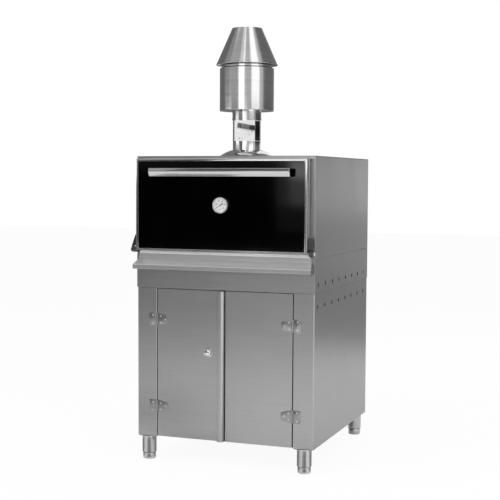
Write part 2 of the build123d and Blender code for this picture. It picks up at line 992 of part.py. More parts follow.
def door_ear():
    """Right ear: a knuckle on the pivot pin and the fin that ties it to the door's side."""
    inner = lug_outer + lug_gap
    outer = inner + ear_length
    barrel = rod_x(ear_radius, inner, outer, pivot_y, pivot_z)
    outline = Polyline(
        (door_half, pivot_z + fin_bottom),
        (door_half, pivot_z + fin_height),
        (door_half + fin_top_width, pivot_z + fin_height),
        (outer, pivot_z + fin_bottom),
        (outer, pivot_z),
        (inner, pivot_z),
        (inner, pivot_z + fin_bottom),
        close=True,
    )
    side = fin_thickness / 2
    ear = barrel + along_y(make_face(outline), pivot_y - side, pivot_y + side)
    return ear - rod_x(pivot_pin_radius, inner - 1, outer + 1, pivot_y, pivot_z)


def pivot_pin():
    """Right pivot pin with a domed end."""
    end = lug_outer + lug_gap + ear_length
    pin = rod_x(pivot_pin_radius, door_half, end, pivot_y, pivot_z)
    dome = rod_x(dome_radius, end, end + dome_length, pivot_y, pivot_z)
    dome = fillet(dome.edges().group_by(Axis.X)[-1], dome_round)
    return pin + dome


# Thermometer
case_back = door_face + frame_skin
case_front = case_back - case_depth
dial_back = case_back - movement_depth
dial_front = dial_back - dial_thickness
glass_front = case_front + glass_recess
glass_back = glass_front + glass_thickness


def thermometer_case():
    """Round case with its rim and the probe that reaches into the chamber."""
    case = rod_y(case_radius, fitting_shift, case_front, case_back, dial_z)
    case = fillet(case.edges().group_by(Axis.Y)[0], case_round)
    case -= rod_y(case_radius - case_rim, fitting_shift, case_front - 1, dial_back, dial_z)
    tip = door_back + plug_depth + stem_reach
    return case + rod_y(stem_radius, fitting_shift, case_back, tip, dial_z)


def thermometer_dial():
    """Dial with the needle's pin at its centre."""
    dial = rod_y(case_radius - case_rim, fitting_shift, dial_front, dial_back, dial_z)
    pin_front = dial_front - slide_gap - needle_hub_length
    return dial + rod_y(needle_pin_radius, fitting_shift, pin_front, dial_front, dial_z)


def thermometer_glass():
    """Flat glass in the rim."""
    return rod_y(case_radius - case_rim, fitting_shift, glass_front, glass_back, dial_z)


def thermometer_needle():
    """Needle, tail and hub, turned to its resting mark."""
    far = dial_front - slide_gap
    near = far - needle_hub_length
    blade_near = near + needle_thickness / 2
    outline = Polyline(
        (-needle_tail, -needle_width / 2),
        (needle_length, -needle_thickness / 4),
        (needle_length, needle_thickness / 4),
        (-needle_tail, needle_width / 2),
        close=True,
    )
    blade = along_y(make_face(outline), blade_near, blade_near + needle_thickness)
    blade = Pos(fitting_shift, 0, dial_z) * Rot(0, -needle_rest_angle, 0) * blade
    hub = rod_y(needle_hub_radius, fitting_shift, near, far, dial_z)
    bore = rod_y(needle_pin_radius + running_gap, fitting_shift, near - 1, far + 1, dial_z)
    return blade + hub - bore


# Flue
def flue_pipe():
    """Flue tube from the firebox to the spark drum, bored for the damper's shaft."""
    pipe = rod_z(flue_radius, 0, flue_y, firebox_top, drum_bottom)
    pipe -= rod_z(flue_radius - flue_wall, 0, flue_y, firebox_top - 1, drum_bottom + 1)
    bore = damper_shaft_radius + running_gap
    return pipe - rod_y(bore, 0, flue_y - 2 * flue_radius, flue_y + 2 * flue_radius, damper_z)


def skirt_line(drop):
    """The skirt's section line in radius and height, the drop below its outer face."""
    rim = Vector(skirt_radius, oven_top_z + skirt_wall - drop)
    crown = Vector(flue_radius, oven_top_z + skirt_height - drop)
    run = skirt_radius - flue_radius
    rise = skirt_height - skirt_wall
    outward = Vector(rise, run).normalized()
    return ThreePointArc(rim, (rim + crown) / 2 + outward * skirt_bulge, crown)


def flue_skirt():
    """Domed skirt that covers the flue's hole in the casing."""
    upper = skirt_line(0)
    lower = skirt_line(skirt_wall)
    rim = Line(lower @ 0, upper @ 0)
    crown = Line(lower @ 1, upper @ 1)
    profile = Plane.XZ * make_face([upper, crown, lower, rim])
    pipe = rod_z(flue_radius, 0, 0, oven_top_z - 1, oven_top_z + 2 * skirt_height)
    return Pos(0, flue_y, 0) * (revolve(profile, Axis.Z) - pipe)


def flue_collar():
    """Collar under the drum, with a bead at each end."""
    high = drum_bottom - collar_drop
    low = high - collar_height
    wall = flue_radius + collar_wall
    bead = wall + bead_wall
    outline = [
        (flue_radius, low),
        (bead, low),
        (bead, low + bead_height),
        (wall, low + bead_height),
        (wall, high - bead_height),
        (bead, high - bead_height),
        (bead, high),
        (flue_radius, high),
    ]
    return turned(outline, 0, flue_y)


# Damper
plate_front = flue_y - flue_radius - plate_proud
plate_back = plate_front + plate_thickness
lever_back = plate_front - lever_gap
lever_front = lever_back - lever_thickness


def damper_turned(shape):
    """A damper piece drawn level, turned about the shaft to its resting angle."""
    return Pos(0, 0, damper_z) * Rot(0, -damper_rest_angle, 0) * Pos(0, 0, -damper_z) * shape


def damper_plate():
    """Index plate with its notch holes, on two saddles that hug the flue."""
    low = damper_z - plate_below
    high = damper_z + plate_above
    plate = block(-plate_left, plate_right, plate_front, flue_y, low, high)
    hollow_low = low + plate_thickness
    hollow_high = high - plate_thickness
    plate -= block(-plate_left - 1, plate_right + 1, plate_back, flue_y + 1, hollow_low, hollow_high)
    plate -= rod_z(flue_radius, 0, flue_y, low - 1, high + 1)
    plate -= rod_y(damper_shaft_radius + running_gap, 0, plate_front - 1, plate_back + 1, damper_z)
    for i in range(notch_count):
        angle = damper_rest_angle - i * damper_travel / (notch_count - 1)
        hole = rod_y(notch_radius, notch_circle, plate_front - 1, plate_back + 1, damper_z)
        plate -= Pos(0, 0, damper_z) * Rot(0, -angle, 0) * Pos(0, 0, -damper_z) * hole
    return plate


def damper_blade():
    """Round blade across the flue, welded on its shaft."""
    radius = flue_radius - flue_wall - damper_clearance
    side = damper_thickness / 2
    blade = rod_z(radius, 0, flue_y, damper_z - side, damper_z + side)
    near = lever_front - shaft_overhang
    far = flue_y + flue_radius + shaft_overhang
    return blade + rod_y(damper_shaft_radius, 0, near, far, damper_z)


def damper_lever():
    """Flat lever on the front end of the shaft."""
    side = lever_width / 2
    lever = block(-lever_tail, lever_reach, lever_front, lever_back, damper_z - side, damper_z + side)
    lever = fillet(lever.edges().filter_by(Axis.Y), lever_round)
    lever -= rod_y(damper_shaft_radius, 0, lever_front - 1, lever_back + 1, damper_z)
    return damper_turned(lever)


def damper_knob():
    """Dark grip on the lever."""
    neck_front = lever_front - lever_knob_neck
    tip = neck_front - lever_knob_length
    grip = rod_y(lever_knob_radius, lever_knob_reach, tip, neck_front, damper_z)
    grip = fillet(grip.edges().group_by(Axis.Y)[0], grip_face_round)
    grip = fillet(grip.edges().group_by(Axis.Y)[-1], grip_base_round)
    grip += rod_y(lever_knob_radius / 2, lever_knob_reach, neck_front, lever_front, damper_z)
    return damper_turned(grip)


# Spark drum and hat
def drum_shell():
    """Drum with its bottom, a sloped shoulder and a neck."""
    wall = drum_wall
    outline = [
        (flue_radius - flue_wall, drum_bottom),
        (drum_radius, drum_bottom),
        (drum_radius, drum_bottom + drum_height),
        (neck_radius, drum_top),
        (neck_radius, neck_top),
        (neck_radius - wall, neck_top),
        (neck_radius - wall, drum_top - wall / 2),
        (drum_radius - wall, drum_bottom + drum_height - wall / 2),
        (drum_radius - wall, drum_bottom + wall),
        (flue_radius - flue_wall, drum_bottom + wall),
    ]
    return turned(outline, 0, flue_y)


def drum_baffle():
    """Disc that stops sparks, on legs from the drum's bottom."""
    floor = drum_bottom + drum_wall
    low = floor + baffle_rise
    baffle = rod_z(baffle_radius, 0, flue_y, low, low + baffle_thickness)
    circle = (flue_radius + baffle_radius) / 2
    for i in range(baffle_legs):
        stand = Rot(0, 0, i * 360 / baffle_legs) * rod_z(baffle_leg_radius, circle, 0, floor, low + 1)
        baffle += Pos(0, flue_y, 0) * stand
    return baffle


def cone_hat():
    """Hat cone, open at the top, with a turned hem at its base."""
    high = hat_bottom + hat_height
    outline = [
        (hat_base_radius - hat_hem, hat_bottom),
        (hat_base_radius, hat_bottom),
        (hat_top_radius, high),
        (hat_top_radius - hat_wall, high),
        (hat_base_radius - hat_wall, hat_bottom + hat_wall),
        (hat_base_radius - hat_hem, hat_bottom + hat_wall),
    ]
    return turned(outline, 0, flue_y)


def hat_core():
    """The space inside the hat, with the neck's space below it."""
    high = hat_bottom + hat_height
    outline = [
        (0, drum_bottom),
        (hat_base_radius - hat_wall, drum_bottom),
        (hat_base_radius - hat_wall, hat_bottom + hat_wall),
        (hat_top_radius - hat_wall, high),
        (0, high),
    ]
    return turned(outline, 0, 0)


def hat_brackets():
    """Three bent straps from the neck out to the hat."""
    foot_low = neck_top - bracket_foot / 2
    foot_outer = neck_radius - drum_wall
    foot_inner = foot_outer - bracket_thickness
    shelf = neck_top + bracket_rise
    outline = Polyline(
        (foot_inner, foot_low),
        (foot_outer, foot_low),
        (foot_outer, shelf - bracket_thickness),
        (hat_base_radius, shelf - bracket_thickness),
        (hat_base_radius, shelf),
        (foot_inner, shelf),
        close=True,
    )
    strap = along_y(make_face(outline), -bracket_width / 2, bracket_width / 2)
    in_neck = rod_z(foot_outer, 0, 0, foot_low - 1, neck_top)
    above_neck = rod_z(hat_base_radius, 0, 0, neck_top, shelf + 1)
    strap = strap & (in_neck + above_neck) & hat_core()
    straps = []
    for i in range(bracket_count):
        straps.append(Pos(0, flue_y, 0) * Rot(0, 0, 90 + i * 360 / bracket_count) * strap)
    return straps


def write_cabinet():
    side = cabinet_side()
    save("cabinet_side_right", side)
    save("cabinet_side_left", other_side(side))
    save("cabinet_back", cabinet_back())
    save("cabinet_floor", cabinet_floor())
    save("cabinet_shelf", cabinet_shelf())
    save("legs", [leg(x, y) for x, y in leg_places().values()])
    for place, (x, y) in leg_places().items():
        save("foot_" + place, foot(x, y))


def write_cabinet_doors():
    left_door = cabinet_door(-hinge_axis_x + side_gap / 2, meeting_left)
    spindle_hole = rod_y(spindle_radius + running_gap, knob_x, front - 1, front + flange, knob_z)
    save("left_door_tray", left_door - spindle_hole)
    save("right_door_tray", cabinet_door(meeting_right, hinge_axis_x - side_gap / 2))
    save("left_door_pull_strip", pull_strip())
    leaves = door_leaves()
    save("right_door_hinge_leaves", leaves)
    save("left_door_hinge_leaves", [other_side(piece) for piece in leaves])
    post_leaves = []
    for z in (lower_hinge_z, upper_hinge_z):
        for piece in [frame_leaf(z)] + frame_leaf_screws(z):
            post_leaves += both_sides(piece)
    save("post_hinge_leaves", post_leaves)
    save("knob_rosette", knob_rosette())
    save("latch_knob", latch_knob())
    save("latch_cam", latch_cam())


def write_base():
    side = base_side()
    save("base_side_right", side)
    save("base_side_left", other_side(side))
    save("base_floor", base_floor())
    save("base_apron", base_apron())
    save("drawer_rails", both_sides(drawer_rail()))
    save("sill_bar", sill_bar())
    save("pivot_brackets", both_sides(pivot_bracket()))
    save("drawer_front", drawer_front())
    save("drawer_tray", drawer_tray())


def write_oven():
    save("oven_casing_sides", both_sides(oven_casing_side()))
    save("oven_casing_top", oven_casing_top())
    save("rear_cover", rear_cover())
    save("oven_front_frame", oven_front_frame())
    save("firebox", firebox())
    save("insulation", insulation())
    save("charcoal_grate", charcoal_grate())
    save("rack_runners", both_sides(rack_runner()))
    save("grill_rack", grill_rack())


def write_oven_door():
    save("oven_door_frame", oven_door_frame())
    save("oven_door_panel", oven_door_panel())
    save("oven_door_liner", oven_door_liner())
    save("oven_door_insulation", oven_door_insulation())
    save("oven_door_gasket", oven_door_gasket())
    save("oven_door_handle", oven_door_handle())
    save("oven_door_ears", both_sides(door_ear()))
    save("oven_door_pivot_pins", both_sides(pivot_pin()))
    save("thermometer_case", thermometer_case())
    save("thermometer_dial", thermometer_dial())
    save("thermometer_glass", thermometer_glass())
    save("thermometer_needle", thermometer_needle())


def write_flue():
    save("flue_pipe", flue_pipe())
    save("flue_skirt", flue_skirt())
    save("flue_collar", flue_collar())
    save("damper_plate", damper_plate())
    save("damper_blade", damper_blade())
    save("damper_lever", damper_lever())
    save("damper_knob", damper_knob())
    save("drum_shell", drum_shell())
    save("drum_baffle", drum_baffle())
    save("cone_hat", cone_hat())
    save("hat_brackets", hat_brackets())


os.makedirs("parts", exist_ok=True)
write_cabinet()
write_cabinet_doors()
write_base()
write_oven()
write_oven_door()
write_flue()
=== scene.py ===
import math
import bmesh
import bpy
from mathutils import Matrix, Vector


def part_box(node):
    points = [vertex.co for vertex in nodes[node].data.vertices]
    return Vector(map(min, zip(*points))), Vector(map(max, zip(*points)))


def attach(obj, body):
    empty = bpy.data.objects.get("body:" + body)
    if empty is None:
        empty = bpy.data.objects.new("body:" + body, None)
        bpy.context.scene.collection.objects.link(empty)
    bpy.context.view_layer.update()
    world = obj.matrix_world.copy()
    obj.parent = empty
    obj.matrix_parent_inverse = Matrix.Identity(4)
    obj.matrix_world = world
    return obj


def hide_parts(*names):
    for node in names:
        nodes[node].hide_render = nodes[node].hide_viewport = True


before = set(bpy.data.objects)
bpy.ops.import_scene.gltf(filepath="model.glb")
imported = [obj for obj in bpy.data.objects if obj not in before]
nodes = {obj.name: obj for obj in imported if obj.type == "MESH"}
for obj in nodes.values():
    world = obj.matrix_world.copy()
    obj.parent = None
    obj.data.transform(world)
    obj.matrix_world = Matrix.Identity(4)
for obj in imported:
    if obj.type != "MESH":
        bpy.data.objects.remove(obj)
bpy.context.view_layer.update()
print("frame loaded:", len(nodes), "nodes")


# camera, where the photographer stood: degrees turned left, tipped down and rolled
view = {
    "spot": (1.7324, -4.6770, 1.1922), "turn": 20.55, "down": 3.58, "roll": 0.26, "lens": 81.5,
    "farthest": 60,
}


def addCamera():
    turn, down, roll = (math.radians(view[key]) for key in ("turn", "down", "roll"))
    ahead = Vector((-math.sin(turn) * math.cos(down), math.cos(turn) * math.cos(down), -math.sin(down)))
    level = Vector((math.cos(turn), math.sin(turn), 0))
    right = level * math.cos(roll) + level.cross(ahead) * math.sin(roll)
    up = right.cross(ahead)
    bpy.ops.object.camera_add(location=view["spot"])
    camera = bpy.context.object
    camera.name = "camera"
    camera.rotation_euler = Matrix((right, up, -ahead)).transposed().to_euler()
    camera.data.lens = view["lens"]
    camera.data.clip_end = view["farthest"]
    bpy.context.scene.camera = camera


addCamera()
print("camera set")


# small helpers for shader trees
def newMaterial(name):
    material = bpy.data.materials.new(name)
    material.use_nodes = True
    tree = material.node_tree
    shader = tree.nodes["Principled BSDF"]
    return material, tree, shader


def addNode(tree, kind, **values):
    node = tree.nodes.new(kind)
    for key, value in values.items():
        if hasattr(node, key) and key not in node.inputs:
            setattr(node, key, value)
        else:
            node.inputs[key].default_value = value
    return node


def ownPlace(tree):
    # the piece's own coordinates, which are metres in the oven's frame
    return addNode(tree, "ShaderNodeTexCoord").outputs["Object"]


def splitUp(tree, vector):
    # the X, Y and Z of a vector
    node = addNode(tree, "ShaderNodeSeparateXYZ")
    tree.links.new(vector, node.inputs[0])
    return node.outputs


def unsigned(tree, value):
    node = addNode(tree, "ShaderNodeMath", operation="ABSOLUTE")
    tree.links.new(value, node.inputs[0])
    return node.outputs[0]


def objectNoise(tree, scale, detail=4, roughness=0.55, stretch=(1, 1, 1)):
    mapping = addNode(tree, "ShaderNodeMapping", Scale=stretch)
    noise = addNode(tree, "ShaderNodeTexNoise", Scale=scale, Detail=detail, Roughness=roughness)
    tree.links.new(ownPlace(tree), mapping.inputs["Vector"])
    tree.links.new(mapping.outputs["Vector"], noise.inputs["Vector"])
    return noise.outputs["Fac"]


def ramp(tree, value, low, high, outLow=0.0, outHigh=1.0):
    node = addNode(tree, "ShaderNodeMapRange")
    for key, number in (("From Min", low), ("From Max", high), ("To Min", outLow), ("To Max", outHigh)):
        node.inputs[key].default_value = number
    tree.links.new(value, node.inputs["Value"])
    return node.outputs["Result"]


def spreadNoise(tree, noise, outLow=0.0, outHigh=1.0):
    # most of a noise lies between 0.3 and 0.7
    return ramp(tree, noise, 0.3, 0.7, outLow, outHigh)


def mix(tree, factor, first, second, kind="RGBA"):
    node = addNode(tree, "ShaderNodeMix", data_type=kind)
    for socket, value in (("Factor", factor), ("A", first), ("B", second)):
        target = [s for s in node.inputs if s.name == socket and s.enabled][0]
        if isinstance(value, bpy.types.NodeSocket):
            tree.links.new(value, target)
        else:
            target.default_value = (*value, 1) if isinstance(value, tuple) else value
    return [s for s in node.outputs if s.enabled][0]


def feed(tree, shader, tint, rough):
    tree.links.new(tint, shader.inputs["Base Color"])
    tree.links.new(rough, shader.inputs["Roughness"])


def addBump(tree, shader, height, depth, strength, edge):
    # bump over a softened edge, so that folded sheet catches the light
    bump = addNode(tree, "ShaderNodeBump", Strength=strength, Distance=depth)
    tree.links.new(height, bump.inputs["Height"])
    if edge:
        bevel = addNode(tree, "ShaderNodeBevel", samples=6, Radius=edge)
        tree.links.new(bevel.outputs["Normal"], bump.inputs["Normal"])
    tree.links.new(bump.outputs["Normal"], shader.inputs["Normal"])


# steel finishes, rolled or brushed
steelLooks = {
    # name: dark and light grey, how much bluer than grey, roughness from and to, fineness and depth of
    # the grain, how far edges are softened, and anisotropy
    "brushedSteel": (0.43, 0.47, 0.005, 0.28, 0.33, 120, 0.00003, 0.0012, 0.45),
    "satinSteel": (0.56, 0.64, 0.005, 0.10, 0.17, 90, 0.00002, 0.0008, 0.3),
    "plainSteel": (0.33, 0.42, 0, 0.33, 0.46, 30, 0.00005, 0.0008, 0.2),
    "hingeSteel": (0.34, 0.41, 0.005, 0.26, 0.34, 120, 0.00002, 0.0004, 0),
    "frameSteel": (0.54, 0.62, 0.005, 0.08, 0.12, 90, 0.00002, 0.0005, 0),
    "ledgeSteel": (0.56, 0.64, 0.005, 0.28, 0.34, 120, 0.00003, 0.001, 0.45),
    "earSteel": (0.09, 0.13, 0.002, 0.26, 0.34, 90, 0.00002, 0.0006, 0),
    "paleSteel": (0.86, 0.94, 0, 0.34, 0.44, 200, 0.00002, 0.0003, 0),
    # painted highlight: the sill bar is near-white and hardly metal, so that besides its real reflection it
    # shows as a bright line though the door shades it
    "sillPaintedHighlight": (0.86, 0.94, 0, 0.03, 0.05, 90, 0.00001, 0.0006, 0),
    "leverSteel": (0.28, 0.36, 0, 0.24, 0.34, 150, 0.00003, 0.0004, 0),
    "chrome": (0.70, 0.80, 0.01, 0.05, 0.10, 160, 0.00001, 0.0004, 0),
}
steelMetal = {"ledgeSteel": 0.62, "paleSteel": 0.25, "sillPaintedHighlight": 0.08}  # the others are all metal
# what all the steels share: brush marks drawn out along their run, soft clouds, and smears from use
steelWear = {
    "detail": 7, "noise": 0.62, "run": 0.03, "flat": (0.6, 0.8), "bump": 0.6,
    "cloud": (2.6, 3, 0.5), "cloudShade": 0.22,
    "smear": (9, 4, 0.6, (1, 1, 0.35)), "smearFrom": (0.45, 0.75), "smearMost": 0.5, "smearRough": 1.12,
}
# painted shade on the ledge: its end faces are darkened as if in shadow, and its lip, below the ramp, is
# darkened to stand for the darker light it takes
ledgePaintedShade = {
    "endShadeFrom": (0.6, 0.9), "ends": 0.7, "paintedEndShade": (0.03, 0.03, 0.03),
    "lipShadeFrom": (0.8315, 0.8335), "lip": 0.45, "paintedLipShade": (0.12, 0.12, 0.12),
}


def steelFinish(name):
    darkGrey, lightGrey, blue, smooth, rough, fine, depth, edge, aniso = steelLooks[name]
    dark = (darkGrey, darkGrey, darkGrey + blue)
    light = (lightGrey, lightGrey, lightGrey + blue)
    detail, noise, run = steelWear["detail"], steelWear["noise"], steelWear["run"]
    material, tree, shader = newMaterial(name)
    # upright sheets are brushed level round the oven, and flat ones from side to side
    level = objectNoise(tree, fine, detail, noise, (run, run, 1))
    across = objectNoise(tree, fine, detail, noise, (run, 1, run))
    normal = splitUp(tree, addNode(tree, "ShaderNodeNewGeometry").outputs["True Normal"])
    flatness = ramp(tree, unsigned(tree, normal["Z"]), *steelWear["flat"])
    grain = mix(tree, flatness, level, across, "FLOAT")
    cloud = objectNoise(tree, *steelWear["cloud"])
    tint = mix(tree, spreadNoise(tree, grain), dark, light)
    tint = mix(tree, spreadNoise(tree, cloud, 0.0, steelWear["cloudShade"]), tint, dark)
    if name == "ledgeSteel":
        # painted shade: faces turned side-on, the ledge's ends, are darkened as if in shadow
        end = ramp(tree, unsigned(tree, normal["X"]), *ledgePaintedShade["endShadeFrom"], 0.0, ledgePaintedShade["ends"])
        tint = mix(tree, end, tint, ledgePaintedShade["paintedEndShade"])
        # painted shade: below the lip's top edge the colour is darkened for the darker light the lip takes
        height = splitUp(tree, ownPlace(tree))["Z"]
        lipShadeMask = ramp(tree, height, *ledgePaintedShade["lipShadeFrom"], ledgePaintedShade["lip"], 0.0)
        tint = mix(tree, lipShadeMask, tint, ledgePaintedShade["paintedLipShade"])
    smear = objectNoise(tree, *steelWear["smear"])
    worn = ramp(tree, smear, *steelWear["smearFrom"], 0.0, steelWear["smearMost"])
    plain = spreadNoise(tree, grain, smooth, rough)
    feed(tree, shader, tint, mix(tree, worn, plain, rough * steelWear["smearRough"], "FLOAT"))
    shader.inputs["Metallic"].default_value = steelMetal.get(name, 1.0)
    shader.inputs["Anisotropic"].default_value = aniso
    addBump(tree, shader, grain, depth, steelWear["bump"], edge)
    return material


# colours that steel takes in the fire
fire = {
    "cold": (0.20, 0.19, 0.18), "straw": (0.17, 0.12, 0.075), "blue": (0.07, 0.08, 0.10),
    "soot": (0.02, 0.02, 0.02),
}


def fibreLook(scale, stretch, dark, light):
    # in the form that patchLooks has
    return {
        "noises": {"strand": (scale, 5, 0.65, stretch), "cloud": (12, 4)}, "base": dark,
        "layers": [("strand", 0.35, 0.65, 1.0, light), ("cloud", 0.4, 0.75, 0.5, dark)],
        "rough": ("strand", 0.3, 0.7, 0.85, 1.0), "bump": ("strand", 0.001, 0.8, 0.0),
        "sockets": {"Sheen Weight": 0.25},
    }


def paintLook(scale, low, high, smooth, rough):
    return {
        "noises": {"speck": (scale, 3), "cloud": (40, 3)}, "base": low,
        "layers": [("speck", 0.3, 0.7, 1.0, high), ("cloud", 0.4, 0.8, 0.5, low)],
        "rough": ("speck", 0.3, 0.7, smooth, rough), "bump": ("speck", 0.00008, 0.4, 0.0003),
        "sockets": {},
    }


# finishes laid in patches. A noise is its scale, detail, roughness and stretch. A layer is its noise,
# where in it the layer starts and is full, how much of it shows, and its colour. Rough is a noise, its
# span and what comes out. Bump is a noise, its depth and strength, and how far edges are softened.
patchLooks = {
    # panel of the oven door: deep black enamel with a slight orange peel
    "blackEnamel": {
        "noises": {"cloud": (5, 3), "peel": (160, 2)},
        "base": (0.0003, 0.0003, 0.0003),
        "layers": [("cloud", 0.35, 0.7, 1.0, (0.00051, 0.00051, 0.00051))],
        "rough": ("cloud", 0.3, 0.7, 0.05, 0.09), "bump": ("peel", 0.00004, 0.5, 0.0006),
        "sockets": {"Specular IOR Level": 0.34},
    },
    # steel that has been in the fire
    "heatSteel": {
        "noises": {"cloud": (6, 5, 0.6), "patch": (17, 5, 0.65), "soot": (3.2, 6, 0.7)},
        "base": fire["cold"],
        "layers": [("cloud", 0.35, 0.6, 1.0, fire["straw"]), ("patch", 0.5, 0.68, 1.0, fire["blue"]),
                   ("soot", 0.45, 0.7, 1.0, fire["soot"])],
        "rough": ("soot", 0.4, 0.7, 0.38, 0.78), "bump": ("patch", 0.0003, 0.4, 0.001),
        "sockets": {"Metallic": 0.8},
    },
    # cast grate: sand-cast skin with ash caught in it
    "castIron": {
        "noises": {"skin": (420, 4, 0.6), "lump": (60, 4, 0.6), "ash": (14, 6, 0.7)},
        "base": (0.045, 0.044, 0.043),
        "layers": [("lump", 0.4, 0.7, 1.0, (0.10, 0.10, 0.10)), ("ash", 0.52, 0.72, 0.7, (0.33, 0.31, 0.29))],
        "rough": ("skin", 0.3, 0.7, 0.62, 0.88), "bump": ("skin", 0.0005, 0.7, 0.0015),
        "sockets": {"Metallic": 0.35},
    },
    # fibre blanket and woven rope
    "fibreBlanket": fibreLook(260, (1, 1, 0.2), (0.62, 0.59, 0.52), (0.80, 0.78, 0.72)),
    "ropeSeal": fibreLook(300, (1, 1, 1), (0.22, 0.20, 0.17), (0.56, 0.54, 0.49)),
    # painted, printed and moulded small parts
    "dialWhite": paintLook(220, (0.91, 0.91, 0.905), (0.97, 0.97, 0.965), 0.34, 0.44),
    "dialInk": paintLook(500, (0.012, 0.012, 0.013), (0.03, 0.03, 0.032), 0.40, 0.55),
    "gripBlack": paintLook(330, (0.010, 0.010, 0.011), (0.026, 0.026, 0.027), 0.30, 0.45),
}


def patchFinish(name):
    look = patchLooks[name]
    material, tree, shader = newMaterial(name)
    noises = {key: objectNoise(tree, *values) for key, values in look["noises"].items()}
    tint = look["base"]
    for key, start, full, most, color in look["layers"]:
        tint = mix(tree, ramp(tree, noises[key], start, full, 0.0, most), tint, color)
    key, *span = look["rough"]
    feed(tree, shader, tint, ramp(tree, noises[key], *span))
    for socket, value in look["sockets"].items():
        shader.inputs[socket].default_value = value
    key, *shape = look["bump"]
    addBump(tree, shader, noises[key], *shape)
    return material


# the door's inner pan: clean steel outside, burnt where it faces the fire
linerLook = {
    "grain": (110, 6, 0.6, (0.03, 1, 0.03)), "clean": ((0.78, 0.78, 0.785), (0.88, 0.88, 0.885)),
    "cloud": (7, 5, 0.6), "cloudFrom": (0.35, 0.65), "burnt": (fire["cold"], fire["soot"]),
    "burntFrom": (-0.369, -0.3665), "cleanRough": 0.24, "burntRough": (0.42, 0.7), "metal": 0.9,
    "bump": (0.00003, 0.5, 0.0006),
}


def linerFinish():
    look = linerLook
    material, tree, shader = newMaterial("linerSteel")
    grain = objectNoise(tree, *look["grain"])
    cloud = objectNoise(tree, *look["cloud"])
    heat = ramp(tree, splitUp(tree, ownPlace(tree))["Y"], *look["burntFrom"])
    clean = mix(tree, spreadNoise(tree, grain), *look["clean"])
    burnt = mix(tree, ramp(tree, cloud, *look["cloudFrom"]), *look["burnt"])
    rough = mix(tree, heat, look["cleanRough"], spreadNoise(tree, cloud, *look["burntRough"]), "FLOAT")
    feed(tree, shader, mix(tree, heat, clean, burnt), rough)
    shader.inputs["Metallic"].default_value = look["metal"]
    addBump(tree, shader, grain, *look["bump"])
    return material


# glass over the dial, lightly smeared
glassLook = {
    "smear": (70, 4), "smearFrom": (0.4, 0.8), "smearRough": 0.06,
    "tint": ((0.97, 0.98, 0.98), (1.0, 1.0, 1.0)), "ior": 1.46,
}


def glassFinish():
    material, tree, shader = newMaterial("dialGlass")
    smear = objectNoise(tree, *glassLook["smear"])
    rough = ramp(tree, smear, *glassLook["smearFrom"], 0.0, glassLook["smearRough"])
    feed(tree, shader, mix(tree, spreadNoise(tree, smear), *glassLook["tint"]), rough)
    shader.inputs["Transmission Weight"].default_value = 1.0
    shader.inputs["IOR"].default_value = glassLook["ior"]
    return material


finish = {name: steelFinish(name) for name in steelLooks}
finish.update({name: patchFinish(name) for name in patchLooks})
finish["linerSteel"] = linerFinish()
finish["dialGlass"] = glassFinish()
print("finishes mixed:", len(finish))


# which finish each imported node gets
nodeFinish = {
    "brushedSteel": """cabinet_side_left cabinet_side_right cabinet_back base_side_left base_side_right
        base_apron oven_casing_sides oven_casing_top rear_cover oven_front_frame left_door_tray
        right_door_tray left_door_pull_strip""",
    "ledgeSteel": "drawer_front",
    "frameSteel": "oven_door_frame",
    "paleSteel": "damper_plate",
    "sillPaintedHighlight": "sill_bar",
    "leverSteel": "damper_lever",
    "linerSteel": "oven_door_liner",
    "satinSteel": """legs foot_front_left foot_front_right foot_back_left foot_back_right
        oven_door_handle flue_collar drum_shell cone_hat hat_brackets grill_rack""",
    "earSteel": "pivot_brackets oven_door_ears",
    "plainSteel": "cabinet_floor cabinet_shelf base_floor drawer_rails drawer_tray",
    "chrome": """post_hinge_leaves left_door_hinge_leaves right_door_hinge_leaves knob_rosette
        latch_knob latch_cam oven_door_pivot_pins thermometer_case flue_pipe flue_skirt""",
    "heatSteel": "firebox rack_runners drum_baffle damper_blade",
    "castIron": "charcoal_grate",
    "fibreBlanket": "insulation oven_door_insulation",
    "ropeSeal": "oven_door_gasket",
    "blackEnamel": "oven_door_panel",
    "dialWhite": "thermometer_dial",
    "dialInk": "thermometer_needle",
    "dialGlass": "thermometer_glass",
    "gripBlack": "damper_knob",
}


def finishNodes():
    left = set(nodes)
    for name, words in nodeFinish.items():
        for node in words.split():
            nodes[node].data.materials.clear()
            nodes[node].data.materials.append(finish[name])
            left.discard(node)
    print("nodes without a finish:", sorted(left))


finishNodes()


# modelling helpers
hair = 0.0001  # a point this near to a line counts as on it
weld = 0.000002  # points this near to each other are made one
facing = 0.9  # a face whose normal is past this looks along the axis


def clearSelection():
    bpy.ops.object.select_all(action="DESELECT")


def makeActive(piece):
    clearSelection()
    piece.select_set(True)
    bpy.context.view_layer.objects.active = piece


def editMode(on):
    bpy.ops.object.mode_set(mode="EDIT" if on else "OBJECT")


def selectMesh():
    bpy.ops.mesh.select_all(action="SELECT")


def pick(piece, kind, test):
    # in edit mode: selects the faces, edges or points that pass the test
    bpy.ops.mesh.select_mode(type=kind)
    bpy.ops.mesh.select_all(action="DESELECT")
    mesh = bmesh.from_edit_mesh(piece.data)
    for part in {"FACE": mesh.faces, "EDGE": mesh.edges, "VERT": mesh.verts}[kind]:
        if test(part):
            part.select_set(True)
    bmesh.update_edit_mesh(piece.data)


def cutAcross(spot, normal):
    # in edit mode: a cut through the whole piece that keeps both sides
    selectMesh()
    bpy.ops.mesh.bisect(plane_co=spot, plane_no=normal)


def startBlock(name, corner, far):
    # a block between any two opposite corners
    low = Vector([min(pair) for pair in zip(corner, far)])
    high = Vector([max(pair) for pair in zip(corner, far)])
    clearSelection()
    bpy.ops.mesh.primitive_cube_add(size=1, location=(low + high) / 2)
    piece = bpy.context.object
    piece.name = name
    piece.scale = high - low
    bpy.ops.object.transform_apply(location=True, rotation=True, scale=True)
    return piece


